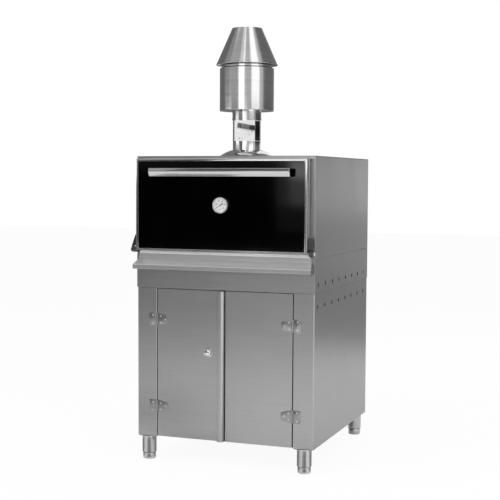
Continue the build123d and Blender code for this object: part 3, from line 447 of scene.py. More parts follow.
def arcPoints(centre, radius, start, end, count=6):
    points = []
    for i in range(count + 1):
        angle = math.radians(start + (end - start) * i / count)
        points.append((centre[0] + radius * math.cos(angle), centre[1] + radius * math.sin(angle)))
    return points


def lathe(name, profile, steps=64):
    # the profile, in radius and height, is drawn point by point and spun about the upright axis
    clearSelection()
    bpy.ops.mesh.primitive_plane_add(size=0.01)
    piece = bpy.context.object
    piece.name = name
    editMode(True)
    bpy.ops.mesh.select_mode(type="VERT")
    bpy.ops.mesh.merge(type="CENTER")
    bpy.ops.transform.translate(value=(profile[0][0], 0, profile[0][1]))
    for here, there in zip(profile, profile[1:]):
        step = (there[0] - here[0], 0, there[1] - here[1])
        bpy.ops.mesh.extrude_region_move(TRANSFORM_OT_translate={"value": step})
    selectMesh()
    bpy.ops.mesh.spin(steps=steps, angle=2 * math.pi, center=(0, 0, 0), axis=(0, 0, 1))
    selectMesh()
    bpy.ops.mesh.remove_doubles(threshold=weld)
    bpy.ops.mesh.normals_make_consistent(inside=False)
    editMode(False)
    return piece


def faceFront(piece, place):
    # a lathe piece whose top looks out of the oven's front
    piece.rotation_euler = (math.radians(90), 0, 0)
    piece.location = place
    return piece


def soften(piece, width, segments=3, angle=30):
    makeActive(piece)
    bevel = piece.modifiers.new("soften", "BEVEL")
    bevel.width = width
    bevel.segments = segments
    bevel.limit_method = "ANGLE"
    bevel.angle_limit = math.radians(angle)
    bpy.ops.object.modifier_apply(modifier=bevel.name)
    return piece


def joinUp(name, group):
    clearSelection()
    for piece in group:
        piece.select_set(True)
    bpy.context.view_layer.objects.active = group[0]
    bpy.ops.object.join()
    group[0].name = name
    return group[0]


def copyTo(piece, places):
    # a copy of the piece, with its own mesh, at each place, all joined up
    copies = []
    for place in places:
        makeActive(piece)
        bpy.ops.object.duplicate()
        bpy.context.object.location = place
        copies.append(bpy.context.object)
    name = piece.name
    bpy.data.objects.remove(piece)
    return joinUp(name, copies)


def domedHead(radius, rise, shape):
    # the flat foot of a screw's head, then points up its dome as shares of its radius and its rise
    return [(0, 0), (radius, 0)] + [(radius * across, rise * up) for across, up in shape]


def seat(piece, body, slot, look, *stoodFor, smooth=32):
    makeActive(piece)
    bpy.ops.object.transform_apply(location=True, rotation=True, scale=True)
    piece.data.materials.clear()
    piece.data.materials.append(finish[look])
    bpy.ops.object.shade_smooth_by_angle(angle=math.radians(smooth))
    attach(piece, body)
    if stoodFor:
        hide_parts(*stoodFor)
    return piece


# thermometer in the oven door
thermo = {
    # chromed case with its probe
    "probe": 0.004, "probeTip": 0.0012, "rimRound": 0.002, "backRound": 0.0015, "movement": 0.006,
    # dial, stepped down inside its rim, and the pin that the needle turns on
    "dialThick": 0.001, "dialGap": 0.0001, "dialRim": 0.0006, "dialSlope": 0.001, "dialStep": 0.0002,
    "pin": 0.0008, "pinTip": 0.0003,
    # print on the dial: the scale starts at zero and runs clockwise over the sweep, in degrees
    "print": 0.00012, "zero": 214, "sweep": 255, "numbers": (0, 100, 200, 300, 400, 500),
    "numberSize": 0.0056, "numberRing": 0.0176, "numberWeight": 0.00022,
    # how many spaces between marks, their inner and outer radius, and their width
    "ticks": ((50, 0.0240, 0.0262, 0.0003), (10, 0.0226, 0.0262, 0.0005), (5, 0.0216, 0.0262, 0.0009)),
    "ring": (0.0268, 0.0272), "adjuster": 0.0023, "adjusterTop": 0.8, "adjusterDrop": 0.0178,
    # needle and its hub, drawn in at the tip and the waist
    "needleTip": 0.021, "needleTail": 0.0135, "needleWide": 0.0044, "needleThin": 0.0008,
    "tipWide": 0.14, "tipThin": 0.6, "waist": 0.5, "needleLift": 0.4, "needleEdge": 0.0001,
    "hub": 0.0026, "hubTop": 0.0021, "hubShoulder": 0.8, "hubBore": 0.0009,
    # glass, domed from its edge
    "glassGap": 0.00015, "glassEdge": 0.4, "glassSteps": (0.85, 0.65, 0.45, 0.22),
}


def dialPlace():
    low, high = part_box("thermometer_case")
    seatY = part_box("oven_door_panel")[0].y
    return (low.x + high.x) / 2, seatY, (low.z + high.z) / 2


def addThermometerCase():
    low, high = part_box("thermometer_case")
    place = dialPlace()
    radius = (high.x - low.x) / 2
    depth = place[1] - low.y
    reach = high.y - place[1]
    probe, tip, rim, back = (thermo[key] for key in ("probe", "probeTip", "rimRound", "backRound"))
    profile = [(0, -reach), (probe - tip, -reach), (probe, -reach + tip)]
    profile += [(probe, 0), (radius - back, 0), (radius, back)]
    profile += arcPoints((radius - rim, depth - rim), rim, 0, 180, 10)
    profile += [(radius - 2 * rim, thermo["movement"]), (0, thermo["movement"])]
    case = faceFront(lathe("thermometerCase", profile, steps=72), place)
    seat(case, "oven_door", "chromed_fittings", "chrome", "thermometer_case")


def addThermometerDial():
    low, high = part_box("thermometer_dial")
    place = dialPlace()
    radius = (high.x - low.x) / 2 - thermo["dialGap"]
    base = thermo["movement"]
    top = base + thermo["dialThick"]
    face = top - thermo["dialStep"]
    pin, pinTop, tip = thermo["pin"], place[1] - low.y, thermo["pinTip"]
    profile = [(0, base), (radius, base), (radius, top), (radius - thermo["dialRim"], top)]
    profile += [(radius - thermo["dialSlope"], face), (pin, face)]
    profile += [(pin, pinTop - tip), (pin - tip, pinTop), (0, pinTop)]
    dial = faceFront(lathe("thermometerDial", profile), place)
    seat(dial, "oven_door", "white_dial", "dialWhite", "thermometer_dial")
    return face


def addDialPrint(height):
    # scale marks, a ring line and plain numbers, just proud of the dial
    x, y, z = dialPlace()
    y -= height
    zero = math.radians(thermo["zero"])
    sweep = math.radians(thermo["sweep"])
    marks = []
    for count, inner, outer, width in thermo["ticks"]:
        reach = (inner + outer) / 2
        mark = startBlock("mark", (-1, -1, -1), (1, 1, 1))
        mark.scale = ((outer - inner) / 2, thermo["print"] / 2, width / 2)
        mark.rotation_euler = (0, -zero, 0)
        mark.location = (x + reach * math.cos(zero), y, z + reach * math.sin(zero))
        bpy.ops.object.transform_apply(location=True, rotation=True, scale=True)
        editMode(True)
        selectMesh()
        bpy.ops.mesh.spin(steps=count, dupli=True, angle=sweep, center=(x, y, z), axis=(0, 1, 0))
        editMode(False)
        marks.append(mark)
    inner, outer = thermo["ring"]
    flat = thermo["print"] / 2
    ring = lathe("ring", [(inner, -flat), (outer, -flat), (outer, flat), (inner, flat), (inner, -flat)])
    marks.append(faceFront(ring, (x, y, z)))
    dot = thermo["adjuster"]
    profile = [(0, -flat), (dot, -flat), (dot, flat), (dot * thermo["adjusterTop"], 3 * flat), (0, 3 * flat)]
    screw = lathe("adjuster", profile, steps=24)
    marks.append(faceFront(screw, (x, y, z - thermo["adjusterDrop"])))
    seat(joinUp("dialMarks", marks), "oven_door", "needle_black", "dialInk")
    words = []
    for i, number in enumerate(thermo["numbers"]):
        angle = zero - sweep * i / (len(thermo["numbers"]) - 1)
        clearSelection()
        spot = (x + thermo["numberRing"] * math.cos(angle), y, z + thermo["numberRing"] * math.sin(angle))
        bpy.ops.object.text_add(location=spot, rotation=(math.radians(90), 0, 0))
        word = bpy.context.object
        word.data.body = str(number)
        word.data.size = thermo["numberSize"]
        word.data.align_x = "CENTER"
        word.data.align_y = "CENTER"
        word.data.extrude = flat
        word.data.offset = thermo["numberWeight"] / 2
        bpy.ops.object.convert(target="MESH")
        words.append(bpy.context.object)
    seat(joinUp("dialNumbers", words), "oven_door", "needle_black", "dialInk")


def addNeedle():
    low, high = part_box("thermometer_needle")
    place = Vector(dialPlace())
    place.y = high.y
    thick = high.y - low.y
    tip, wide, thin = thermo["needleTip"], thermo["needleWide"], thermo["needleThin"]
    blade = startBlock("blade", (-thermo["needleTail"], -wide / 2, 0), (tip, wide / 2, thin))
    editMode(True)
    cutAcross((thin, 0, 0), (1, 0, 0))
    pick(blade, "FACE", lambda face: face.normal.x > facing)
    narrow = (1, thermo["tipWide"], thermo["tipThin"])
    bpy.ops.transform.resize(value=narrow, center_override=(tip, 0, thin / 2))
    pick(blade, "VERT", lambda point: abs(point.co.x - thin) < hair)
    bpy.ops.transform.resize(value=(1, thermo["waist"], 1), center_override=(thin, 0, thin / 2))
    editMode(False)
    blade.location.z = thick * thermo["needleLift"]
    soften(blade, thermo["needleEdge"], segments=2)
    hub, top, bore = thermo["hub"], thermo["hubTop"], thermo["hubBore"]
    profile = [(bore, 0), (hub, 0), (hub, thick * thermo["hubShoulder"])]
    profile += [(top, thick), (bore, thick), (bore, 0)]
    needle = joinUp("thermometerNeedle", [lathe("hub", profile, steps=32), blade])
    turn = Matrix.Rotation(-math.radians(thermo["zero"]), 3, "Y") @ Matrix.Rotation(math.radians(90), 3, "X")
    needle.rotation_euler = turn.to_euler()
    needle.location = place
    seat(needle, "needle", "needle_black", "dialInk", "thermometer_needle")


def addDialGlass():
    low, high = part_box("thermometer_glass")
    place = Vector(dialPlace())
    place.y = high.y
    radius = (high.x - low.x) / 2 - thermo["glassGap"]
    thick = high.y - low.y
    edge = thick * thermo["glassEdge"]
    profile = [(0, 0), (radius, 0), (radius, edge)]
    profile += [(radius * share, edge + (thick - edge) * (1 - share ** 2)) for share in thermo["glassSteps"]]
    profile += [(0, thick)]
    glass = faceFront(lathe("thermometerGlass", profile), place)
    seat(glass, "oven_door", "clear_glass", "dialGlass", "thermometer_glass", smooth=50)


# latch knob on the left cabinet door, and the rosette under it
latch = {
    "neck": 0.0085, "neckLength": 0.0055, "neckTaper": 0.001, "spindle": 0.004, "spindleEnd": 0.0008,
    "flare": 0.0105, "flareThick": 0.0016, "flareSlope": 0.0008, "lift": 0.0004,
    # the ball starts below its middle, in degrees, and is a little fuller than round
    "ballStart": -58, "ballSteps": 16, "ballFull": 0.8,
    "rosetteStep": 0.0015, "rosetteBore": 0.0042, "dish": (0.72, 0.68), "dishDeep": 0.0006,
}


def addLatchKnob():
    low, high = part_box("latch_knob")
    radius = (high.x - low.x) / 2
    x, z = (low.x + high.x) / 2, (low.z + high.z) / 2
    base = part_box("knob_rosette")[0].y - latch["lift"]
    length = base - low.y
    reach = high.y - base
    spindle, end = latch["spindle"], latch["spindleEnd"]
    flare, neck = latch["flare"], latch["neck"]
    profile = [(0, -reach), (spindle - end, -reach), (spindle, end - reach), (spindle, 0), (flare, 0)]
    profile += [(flare, latch["flareThick"]), (neck, latch["flareThick"] + latch["flareSlope"])]
    profile += [(neck, latch["neckLength"] - latch["neckTaper"])]
    ball = (length - latch["neckLength"]) / 2
    middle = latch["neckLength"] + ball
    for across, up in arcPoints((0, 0), 1, latch["ballStart"], 90, latch["ballSteps"]):
        onAxis = across < 0.01
        profile.append((0 if onAxis else radius * across ** latch["ballFull"], middle + ball * up))
    knob = faceFront(lathe("latchKnob", profile), (x, base, z))
    seat(knob, "latch", "chromed_fittings", "chrome", "latch_knob", smooth=40)


def addRosette():
    low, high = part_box("knob_rosette")
    radius = (high.x - low.x) / 2
    thick = high.y - low.y
    step, bore = latch["rosetteStep"], latch["rosetteBore"]
    rim, well = latch["dish"]
    deep = thick - latch["dishDeep"]
    profile = [(bore, 0), (radius, 0), (radius, thick - step)]
    profile += arcPoints((radius - step, thick - step), step, 0, 90, 5)
    profile += [(radius * rim, thick), (radius * well, deep), (bore, deep), (bore, 0)]
    place = ((low.x + high.x) / 2, high.y, (low.z + high.z) / 2)
    rosette = faceFront(lathe("knobRosette", profile), place)
    seat(rosette, "cabinet_door_left", "chromed_fittings", "chrome", "knob_rosette")


# frame of the oven door: a folded tray whose front slopes back to its outer edge
doorFrame = {
    "side": 0.011, "top": 0.011, "bottom": 0.0065, "slope": 0.0045, "slopeBack": 0.0026, "lip": 0.001,
    "skin": 0.0013, "round": 0.0011,
}


def addDoorFrame():
    low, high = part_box("oven_door_frame")
    middle = (low + high) / 2
    inset = doorFrame["slope"] + doorFrame["lip"]
    piece = startBlock("ovenDoorFrame", low, high)
    editMode(True)
    pick(piece, "FACE", lambda face: face.normal.y > facing)
    bpy.ops.mesh.delete(type="FACE")
    pick(piece, "FACE", lambda face: face.normal.y < -facing)
    bpy.ops.mesh.inset(thickness=doorFrame["slope"])
    bpy.ops.mesh.inset(thickness=doorFrame["lip"])
    # each side of the innermost face moves to the window's edge
    for axis, side, border in (("x", -1, "side"), ("x", 1, "side"), ("z", -1, "bottom"), ("z", 1, "top")):
        edge = getattr(low if side < 0 else high, axis)
        at = edge - side * inset
        pick(piece, "VERT", lambda point: abs(getattr(point.co, axis) - at) < hair)
        move = edge - side * doorFrame[border] - at
        bpy.ops.transform.translate(value=(move if axis == "x" else 0, 0, move if axis == "z" else 0))
    # the window is cut out
    pick(piece, "FACE", lambda face: face.normal.y < -facing
         and (face.calc_center_median() - middle).xz.length < doorFrame["side"])
    bpy.ops.mesh.delete(type="FACE")
    # the outer edge goes back at the sides and the top
    pick(piece, "VERT", lambda point: point.co.y < low.y + hair and point.co.z > low.z + hair
         and (abs(point.co.x - middle.x) > high.x - middle.x - hair or point.co.z > high.z - hair))
    bpy.ops.transform.translate(value=(0, doorFrame["slopeBack"], 0))
    editMode(False)
    makeActive(piece)
    wall = piece.modifiers.new("skin", "SOLIDIFY")
    wall.thickness = doorFrame["skin"]
    wall.offset = -1
    bpy.ops.object.modifier_apply(modifier=wall.name)
    soften(piece, doorFrame["round"], angle=25)
    seat(piece, "oven_door", "polished_steel", "frameSteel", "oven_door_frame")


# bar under the door, flat in front with small rounded edges
sill = {"edge": 0.0012}


def addSill():
    low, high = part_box("sill_bar")
    bar = soften(startBlock("sillBar", low, high), sill["edge"])
    # its near-white finish is a painted highlight
    seat(bar, "carcass", "polished_steel", "sillPaintedHighlight", "sill_bar")


# flat bar handle of the oven door, with a crease along its front, on two flanged posts
handle = {
    "barDepth": 0.016, "crease": 0.62, "topBack": 0.0035, "lowBack": 0.0085, "edge": 0.0014,
    "post": 0.008, "postInset": 0.055, "postSink": 0.001, "fillet": 0.0006,
    "flange": 0.0115, "flangeThick": 0.0022, "flangeSide": 0.6, "flangeSlope": 0.0008,
}


def addHandle():
    low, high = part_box("oven_door_handle")
    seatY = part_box("oven_door_panel")[0].y
    barBack = low.y + handle["barDepth"]
    middle = (low.z + high.z) / 2
    creaseZ = low.z + (high.z - low.z) * handle["crease"]
    bar = startBlock("bar", low, (high.x, barBack, high.z))
    editMode(True)
    cutAcross((0, 0, creaseZ), (0, 0, 1))
    pick(bar, "VERT", lambda point: point.co.y < barBack - hair and point.co.z > high.z - hair)
    bpy.ops.transform.translate(value=(0, handle["topBack"], 0))
    pick(bar, "VERT", lambda point: point.co.y < barBack - hair and point.co.z < low.z + hair)
    bpy.ops.transform.translate(value=(0, handle["lowBack"], 0))
    editMode(False)
    soften(bar, handle["edge"], segments=4, angle=12)
    flange, thick = handle["flange"], handle["flangeThick"]
    radius, fillet = handle["post"], handle["fillet"]
    length = seatY - barBack + handle["postSink"]
    profile = [(0, 0), (flange, 0), (flange, thick * handle["flangeSide"])]
    profile += [(flange - handle["flangeSlope"], thick), (radius + fillet, thick)]
    profile += [(radius, thick + fillet), (radius, length), (0, length)]
    post = faceFront(lathe("post", profile, steps=40), (0, 0, 0))
    inset = handle["postInset"]
    posts = copyTo(post, [(low.x + inset, seatY, middle), (high.x - inset, seatY, middle)])
    whole = joinUp("ovenDoorHandle", [bar, posts])
    seat(whole, "oven_door", "polished_steel", "satinSteel", "oven_door_handle")


# butterfly hinges: leaves round plain barrels, and dome-headed screws with a socket
hinge = {
    "height": 0.054, "leaf": 0.0016, "knuckle": 0.0033, "gap": 0.0004, "edge": 0.0003, "rolled": 0.0006,
    "screw": 0.0034, "dome": 0.0014, "domeShape": ((1, 0.25), (0.86, 0.7), (0.6, 0.95)),
    "socket": 0.0012, "socketDeep": 0.0009,
}
# a leaf runs out from the barrels' line (way 1) or in (way -1); barrels are heights in thirds of the leaf,
# play is left at their ends, and a screw is how far from the line and how high
leafKinds = {
    "post": {
        "way": 1, "wide": 0.036, "tipHeight": 0.054, "corner": 0.004, "cornerSteps": 6,
        "barrels": (-1, 1), "play": 0, "screws": ((0.01985, -0.017), (0.01985, 0.017)),
    },
    "door": {
        "way": -1, "wide": 0.050, "tipHeight": 0.032, "corner": 0.008, "cornerSteps": 8,
        "barrels": (0,), "play": 0.0004, "screws": ((0.0165, -0.0135), (0.0165, 0.0135), (0.036, 0)),
    },
}


def knuckle(x, y, z, length):
    radius, end = hinge["knuckle"], hinge["rolled"]
    half = length / 2
    profile = [(0, -half), (radius - end, -half), (radius, end - half)]
    profile += [(radius, half - end), (radius - end, half), (0, half)]
    barrel = lathe("knuckle", profile, steps=28)
    barrel.location = (x, y, z)
    return barrel


def screwHead(x, y, z):
    dome, socket = hinge["dome"], hinge["socket"]
    floor = dome - hinge["socketDeep"]
    profile = domedHead(hinge["screw"], dome, hinge["domeShape"])
    profile += [(socket, dome), (socket, floor), (0, floor)]
    return faceFront(lathe("screwHead", profile, steps=24), (x, y, z))


def hingePlaces():
    # the barrels' line and the hinges' heights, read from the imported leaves
    low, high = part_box("post_hinge_leaves")
    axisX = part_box("right_door_hinge_leaves")[1].x - hinge["knuckle"]
    axisY = low.y + hinge["knuckle"]
    half = hinge["height"] / 2
    return axisX, axisY, (low.z + half, high.z - half)


def softSheet(piece):
    return soften(piece, hinge["edge"], segments=2, angle=50)


def addLeaves(kind, sides, body, node, leafName, screwName):
    look = leafKinds[kind]
    way, height = look["way"], hinge["height"]
    axisX, axisY, heights = hingePlaces()
    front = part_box(node)[1].y
    near = front - hinge["leaf"]
    root = axisX + way * (hinge["knuckle"] + hinge["gap"])
    tip = axisX + way * look["wide"]
    length = height / 3 - 2 * look["play"]
    leaves = []
    screws = []
    for side in sides:
        for z in heights:
            leaf = startBlock("leaf", (side * root, near, z - height / 2),
                              (side * tip, front, z + height / 2))
            editMode(True)
            if look["tipHeight"] < height:
                pick(leaf, "FACE", lambda face: face.normal.x * side * way > facing)
                shorten = (1, 1, look["tipHeight"] / height)
                bpy.ops.transform.resize(value=shorten, center_override=(side * tip, near, z))
            # the two corners at the tip are rounded
            pick(leaf, "EDGE", lambda edge: all(abs(point.co.x - side * tip) < hair for point in edge.verts)
                 and abs(edge.verts[0].co.y - edge.verts[1].co.y) > hair)
            bpy.ops.mesh.bevel(offset=look["corner"], segments=look["cornerSteps"])
            editMode(False)
            leaves.append(softSheet(leaf))
            for third in look["barrels"]:
                middle = z + third * height / 3
                wrap = startBlock("wrap", (side * root, axisY, middle - length / 2),
                                  (side * axisX, near + hinge["leaf"] / 2, middle + length / 2))
                leaves.append(softSheet(wrap))
                leaves.append(knuckle(side * axisX, axisY, middle, length))
            for out, up in look["screws"]:
                screws.append(screwHead(side * (axisX + way * out), near, z + up))
    seat(joinUp(leafName, leaves), body, "chromed_fittings", "hingeSteel", node)
    seat(joinUp(screwName, screws), body, "chromed_fittings", "chrome")


# tube legs and the feet that screw into them
leg = {
    "tube": 0.030, "wall": 0.0025, "plug": 0.016, "bore": 0.0083, "lip": 0.0012, "lipFlat": 0.0006,
    "plateThick": 0.003, "plateEdge": 0.0008,
}
foot = {"corner": 0.0045, "shoulder": 0.0016, "gap": 0.002, "stem": 0.008, "stemEnd": 0.0015}
feet = ("front_left", "front_right", "back_left", "back_right")


def footPlaces():
    places = {}
    for spot in feet:
        low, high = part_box("foot_" + spot)
        places[spot] = ((low.x + high.x) / 2, (low.y + high.y) / 2)
    return places


def addLegs():
    low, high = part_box("legs")
    radius, wall, lip, bore, edge = (leg[key] for key in ("tube", "wall", "lip", "bore", "plateEdge"))
    bottom = low.z
    plateZ = high.z - leg["plateThick"]
    plugTop = bottom + leg["plug"]
    profile = [(bore, bottom), (radius - lip - leg["lipFlat"], bottom)]
    profile += arcPoints((radius - lip, bottom + lip), lip, -90, 0, 4)
    profile += [(radius, high.z - edge), (radius - edge, high.z), (0, high.z), (0, plateZ)]
    profile += [(radius - wall, plateZ), (radius - wall, plugTop), (bore, plugTop), (bore, bottom)]
    tube = lathe("tube", profile)
    places = [(x, y, 0) for x, y in footPlaces().values()]
    group = [copyTo(tube, places)]
    # the top plates end at the cabinet's front and back, and stay just under the tubes' tops
    side = high.x - places[1][0]
    cabinetLow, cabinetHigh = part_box("cabinet_side_left")
    for pair in (places[:2], places[2:]):
        near = max(cabinetLow.y - pair[0][1], -side)
        far = min(cabinetHigh.y - pair[0][1], side)
        plate = startBlock("plate", (-side, near, plateZ), (side, far, high.z - edge / 4))
        soften(plate, edge, segments=2)
        group.append(copyTo(plate, pair))
    seat(joinUp("legTubes", group), "carcass", "polished_steel", "satinSteel", "legs")


def addFeet():
    corner, shoulder, stem, end = (foot[key] for key in ("corner", "shoulder", "stem", "stemEnd"))
    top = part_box("legs")[0].z - foot["gap"]
    for spot, (x, y) in footPlaces().items():
        low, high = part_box("foot_" + spot)
        radius = (high.x - low.x) / 2
        profile = [(0, 0)] + arcPoints((radius - corner, corner), corner, -90, 0, 6)
        profile += [(radius, top - shoulder)]
        profile += arcPoints((radius - shoulder, top - shoulder), shoulder, 0, 90, 4)[1:]
        profile += [(stem, top), (stem, high.z - end), (stem - end, high.z), (0, high.z)]
        words = spot.split("_")
        piece = lathe("foot" + words[0].title() + words[1].title(), profile)
        piece.location = (x, y, 0)
        seat(piece, "foot_" + spot, "polished_steel", "satinSteel", "foot_" + spot)


# rope seal round the inside of the oven door
rope = {"width": 0.006, "corner": 0.014, "points": 6, "round": 5}


def addRope():
    low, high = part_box("oven_door_gasket")
    radius = rope["width"] / 2
    middle = (low + high) / 2
    clearSelection()
    bpy.ops.mesh.primitive_plane_add(size=1, rotation=(math.radians(90), 0, 0))
    piece = bpy.context.object
    piece.name = "ropeSeal"
    piece.location = middle
    piece.scale = (high.x - low.x - 2 * radius, high.z - low.z - 2 * radius, 1)
    bpy.ops.object.transform_apply(location=True, rotation=True, scale=True)
    editMode(True)
    selectMesh()
    bpy.ops.mesh.delete(type="ONLY_FACE")
    selectMesh()
    bpy.ops.mesh.bevel(offset=rope["corner"], segments=rope["points"], affect="VERTICES")
    editMode(False)
    bpy.ops.object.convert(target="CURVE")
    piece = bpy.context.object
    piece.data.bevel_depth = radius
    piece.data.bevel_resolution = rope["round"]
    bpy.ops.object.convert(target="MESH")
    editMode(True)
    selectMesh()
    bpy.ops.transform.resize(value=(1, (high.y - low.y) / rope["width"], 1), center_override=middle)
    editMode(False)
    seat(bpy.context.object, "oven_door", "seal_rope", "ropeSeal", "oven_door_gasket", smooth=60)


# rolled edges of the flue, screws round the back sheets, and the nut on the damper's shaft
trim = {
    "bead": 0.0016,
    "screw": 0.0045, "dome": 0.0018, "domeShape": ((1, 0.3), (0.84, 0.72), (0.5, 0.95), (0, 1)),
    "inset": 0.012, "pitch": 0.12, "nut": 0.0085, "nutThick": 0.0032, "nutTop": 0.86, "nutBevel": 0.0006,
}


def beadRing(radius, y, z):
    size = trim["bead"]
    ring = lathe("bead", arcPoints((radius - size, z), size, 0, 360, 12), steps=96)
    ring.location.y = y
    return ring


def addFlueBeads():
    low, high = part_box("drum_shell")
    hatLow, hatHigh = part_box("cone_hat")
    y = (low.y + high.y) / 2
    size = trim["bead"]
    hatBead = beadRing((hatHigh.x - hatLow.x) / 2, y, hatLow.z + size)
    drumBead = beadRing((high.x - low.x) / 2 + size / 2, y, low.z + size)
    seat(joinUp("flueBeads", [hatBead, drumBead]), "carcass", "polished_steel", "satinSteel")


def evenly(start, end, pitch):
    # places from start to end, both with them, about a pitch apart
    count = round((end - start) / pitch)
    return [start + i * (end - start) / count for i in range(count + 1)]


def addBackScrews():
    inset, pitch = trim["inset"], trim["pitch"]
    places = []
    for node in ("rear_cover", "cabinet_back"):
        low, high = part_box(node)
        left, right, bottom, top = low.x + inset, high.x - inset, low.z + inset, high.z - inset
        for x in evenly(left, right, pitch):
            places += [(x, high.y, bottom), (x, high.y, top)]
        for z in evenly(bottom, top, pitch)[1:-1]:
            places += [(left, high.y, z), (right, high.y, z)]
    head = lathe("backScrews", domedHead(trim["screw"], trim["dome"], trim["domeShape"]), steps=20)
    head.rotation_euler = (math.radians(-90), 0, 0)
    seat(copyTo(head, places), "carcass", "chromed_fittings", "chrome")


def addDamperNut():
    # six-sided nut with a bevelled top
    low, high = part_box("damper_blade")
    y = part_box("damper_lever")[0].y
    size, thick = trim["nut"], trim["nutThick"]
    top = thick + trim["nutBevel"]
    profile = [(0, 0), (size, 0), (size, thick), (size * trim["nutTop"], top), (0, top)]
    nut = lathe("damperNut", profile, steps=6)
    place = ((low.x + high.x) / 2, y, (high.z + low.z) / 2)
    seat(faceFront(nut, place), "damper", "chromed_fittings", "chrome", smooth=20)


def addPieces():
    addThermometerCase()
    face = addThermometerDial()
    addDialPrint(face)
    addNeedle()
    addDialGlass()
    print("thermometer done")
    addLatchKnob()
    addRosette()
    addDoorFrame()
    addSill()
    addHandle()
    print("knob, door frame, sill and handle done")
    addLeaves("post", (-1, 1), "carcass", "post_hinge_leaves", "postHingeLeaves", "postHingeScrews")
    addLeaves("door", (-1,), "cabinet_door_left", "left_door_hinge_leaves",
              "leftDoorLeaves", "leftDoorScrews")
    addLeaves("door", (1,), "cabinet_door_right", "right_door_hinge_leaves",
              "rightDoorLeaves", "rightDoorScrews")
    print("hinges done")
    addLegs()
    addFeet()
    addRope()
    print("legs, feet and rope done")
    addFlueBeads()
    addBackScrews()
    addDamperNut()
    print("trim done")


addPieces()


# studio: a pale floor, a white surround, soft lamps, and cards that only the metal sees
studio = {
    "floorSize": 40, "floorColor": (0.95, 0.95, 0.95), "floorShade": 0.985, "floorRough": 0.9,
    "floorGlow": 0.94, "ambient": 0.55, "lampAim": (0, 0, 0.9),
    "cardDistance": 3.3, "nearDistance": 3.15, "cardTurn": 15,
    "wedgeNear": 0.034, "wedgeFar": 0.4, "wedgeHeight": 0.005, "wedgeTurn": 26,
}
cards = [
    # name, from and to in degrees round the oven (0 is the front), lower and upper edge, brightness
    ("darkLeft", -165, -84, -0.4, 8, 0.19),
    ("fadeLeft", -84, -58, -0.4, 8, 0.36),
    ("greyLeft", -58, -35, 1.3, 8, 0.50),
    ("dimLeft", -58, -35, 0, 1.3, 0.22),
    ("greyAbove", -35, -14, 1.5, 2.4, 0.50),
    ("darkHigh", -35, -14, 2.4, 4.8, 0.10),
    ("greyTop", -35, -14, 4.8, 8, 0.50),
    ("darkAbove", -35, -12.8, 1.25, 1.5, 0.15),
    ("darkFront", -35, -12.8, 0.70, 1.25, 0.004),
    ("darkMiddle", -12.8, -8, 0.70, 0.85, 0.03),
    ("glowLow", -12.8, -8, 0.85, 1.02, 0.15),
    ("glowFade", -12.8, -11.3, 1.02, 1.35, 0.45),
    ("glowMiddle", -11.3, -8, 1.02, 1.2, 1.2),
    ("glowHigh", -11.3, -8, 1.2, 1.32, 4.0),
    ("bandLeft", -35, -19, 0.6, 0.70, 0.42),
    ("bandRight", -19, -8, 0.6, 0.69, 1.4),
    ("bandTop", -19, -8, 0.69, 0.70, 0.3),
    ("lowFrontLeft", -35, -26, -0.02, 0.6, 0.16),
    ("lowFrontMiddle", -26, -18, -0.02, 0.6, 0.22),
    ("lowFrontRight", -18, -8, -0.02, 0.6, 0.50),
    ("stripLeft", -14, -8, 1.35, 2.2, 1.9),
    ("stripGap", -14, 4, 2.2, 4.8, 0.12),
    ("stripTop", -14, 4, 4.8, 8, 0.9),
    ("stripMiddle", -8, 4, 1.35, 2.2, 1.9),
    ("stripSide", 4, 9, 1.35, 8, 1.9),
    ("stripEdge", 9, 11, 1.35, 8, 1.1),
    ("stripFoot", -8, 11, 1.25, 1.35, 0.9),
    ("stripFade", -8, 11, 1.0, 1.25, 0.22),
    ("greyUnderStrip", -8, 11, 0, 1.0, 0.30),
    ("greyFront", 11, 38, 0, 8, 0.62),
    ("stripRight", 38, 73, 0, 8, 1.7),
    ("gapRight", 73, 77, 0, 8, 0.45),
    ("lightRightLow", 77, 115, 0, 0.8, 1.5),
    ("lightRightOven", 77, 95, 0.8, 0.95, 0.6),
    ("darkRightLow", 115, 150, 0, 0.8, 0.12),
    ("darkRightOven", 95, 150, 0.8, 0.95, 0.15),
    ("fadeRight", 77, 87, 0.95, 8, 0.75),
    ("dimRight", 87, 95, 0.95, 8, 0.40),
    ("darkRight", 95, 150, 0.95, 8, 0.19),
    ("greyBackLow", 150, 180, 0, 0.5, 0.35),
    ("greyBackMiddle", 150, 180, 0.5, 0.95, 0.49),
    ("greyBackHigh", 150, 180, 0.95, 1.45, 0.80),
    ("darkBackTop", 150, 180, 1.45, 8, 0.22),
]
nearCards = [
    # a little nearer, the same way: for the sill, and for the flue's pipe
    ("sillLeft", -35, -24.5, 0.655, 0.695, 1.2),
    ("sillMiddle", -24.5, -21.5, 0.65, 0.69, 1.2),
    ("sillRight", -21.5, -18.3, 0.645, 0.685, 1.2),
    ("pipeDarkLeft", -150, -76, 1.44, 1.64, 0.15),
    ("pipeLightLeft", -76, -46, 1.44, 1.64, 2.0),
    ("pipeGrey", -46, -13, 1.44, 1.64, 0.16),
    ("pipeLight", -13, 20, 1.44, 1.64, 1.9),
    ("pipeFade", 20, 34, 1.44, 1.64, 0.6),
    ("pipeDark", 34, 62, 1.44, 1.64, 0.05),
    ("pipeGlint", 62, 90, 1.44, 1.64, 0.5),
    ("pipeDarkRight", 90, 150, 1.44, 1.64, 0.004),
]
flatCards = [
    # name, corner and far corner, height, brightness
    ("overheadLeft", (-4, -2.0), (-1.8, 0.6), 5, 1.1),
    ("overheadRight", (-1.8, -2.0), (0.6, 0.6), 5, 1.7),
    ("groundLeft", (-1.3, -1.55), (-0.45, -0.95), 0.004, 0.34),
]
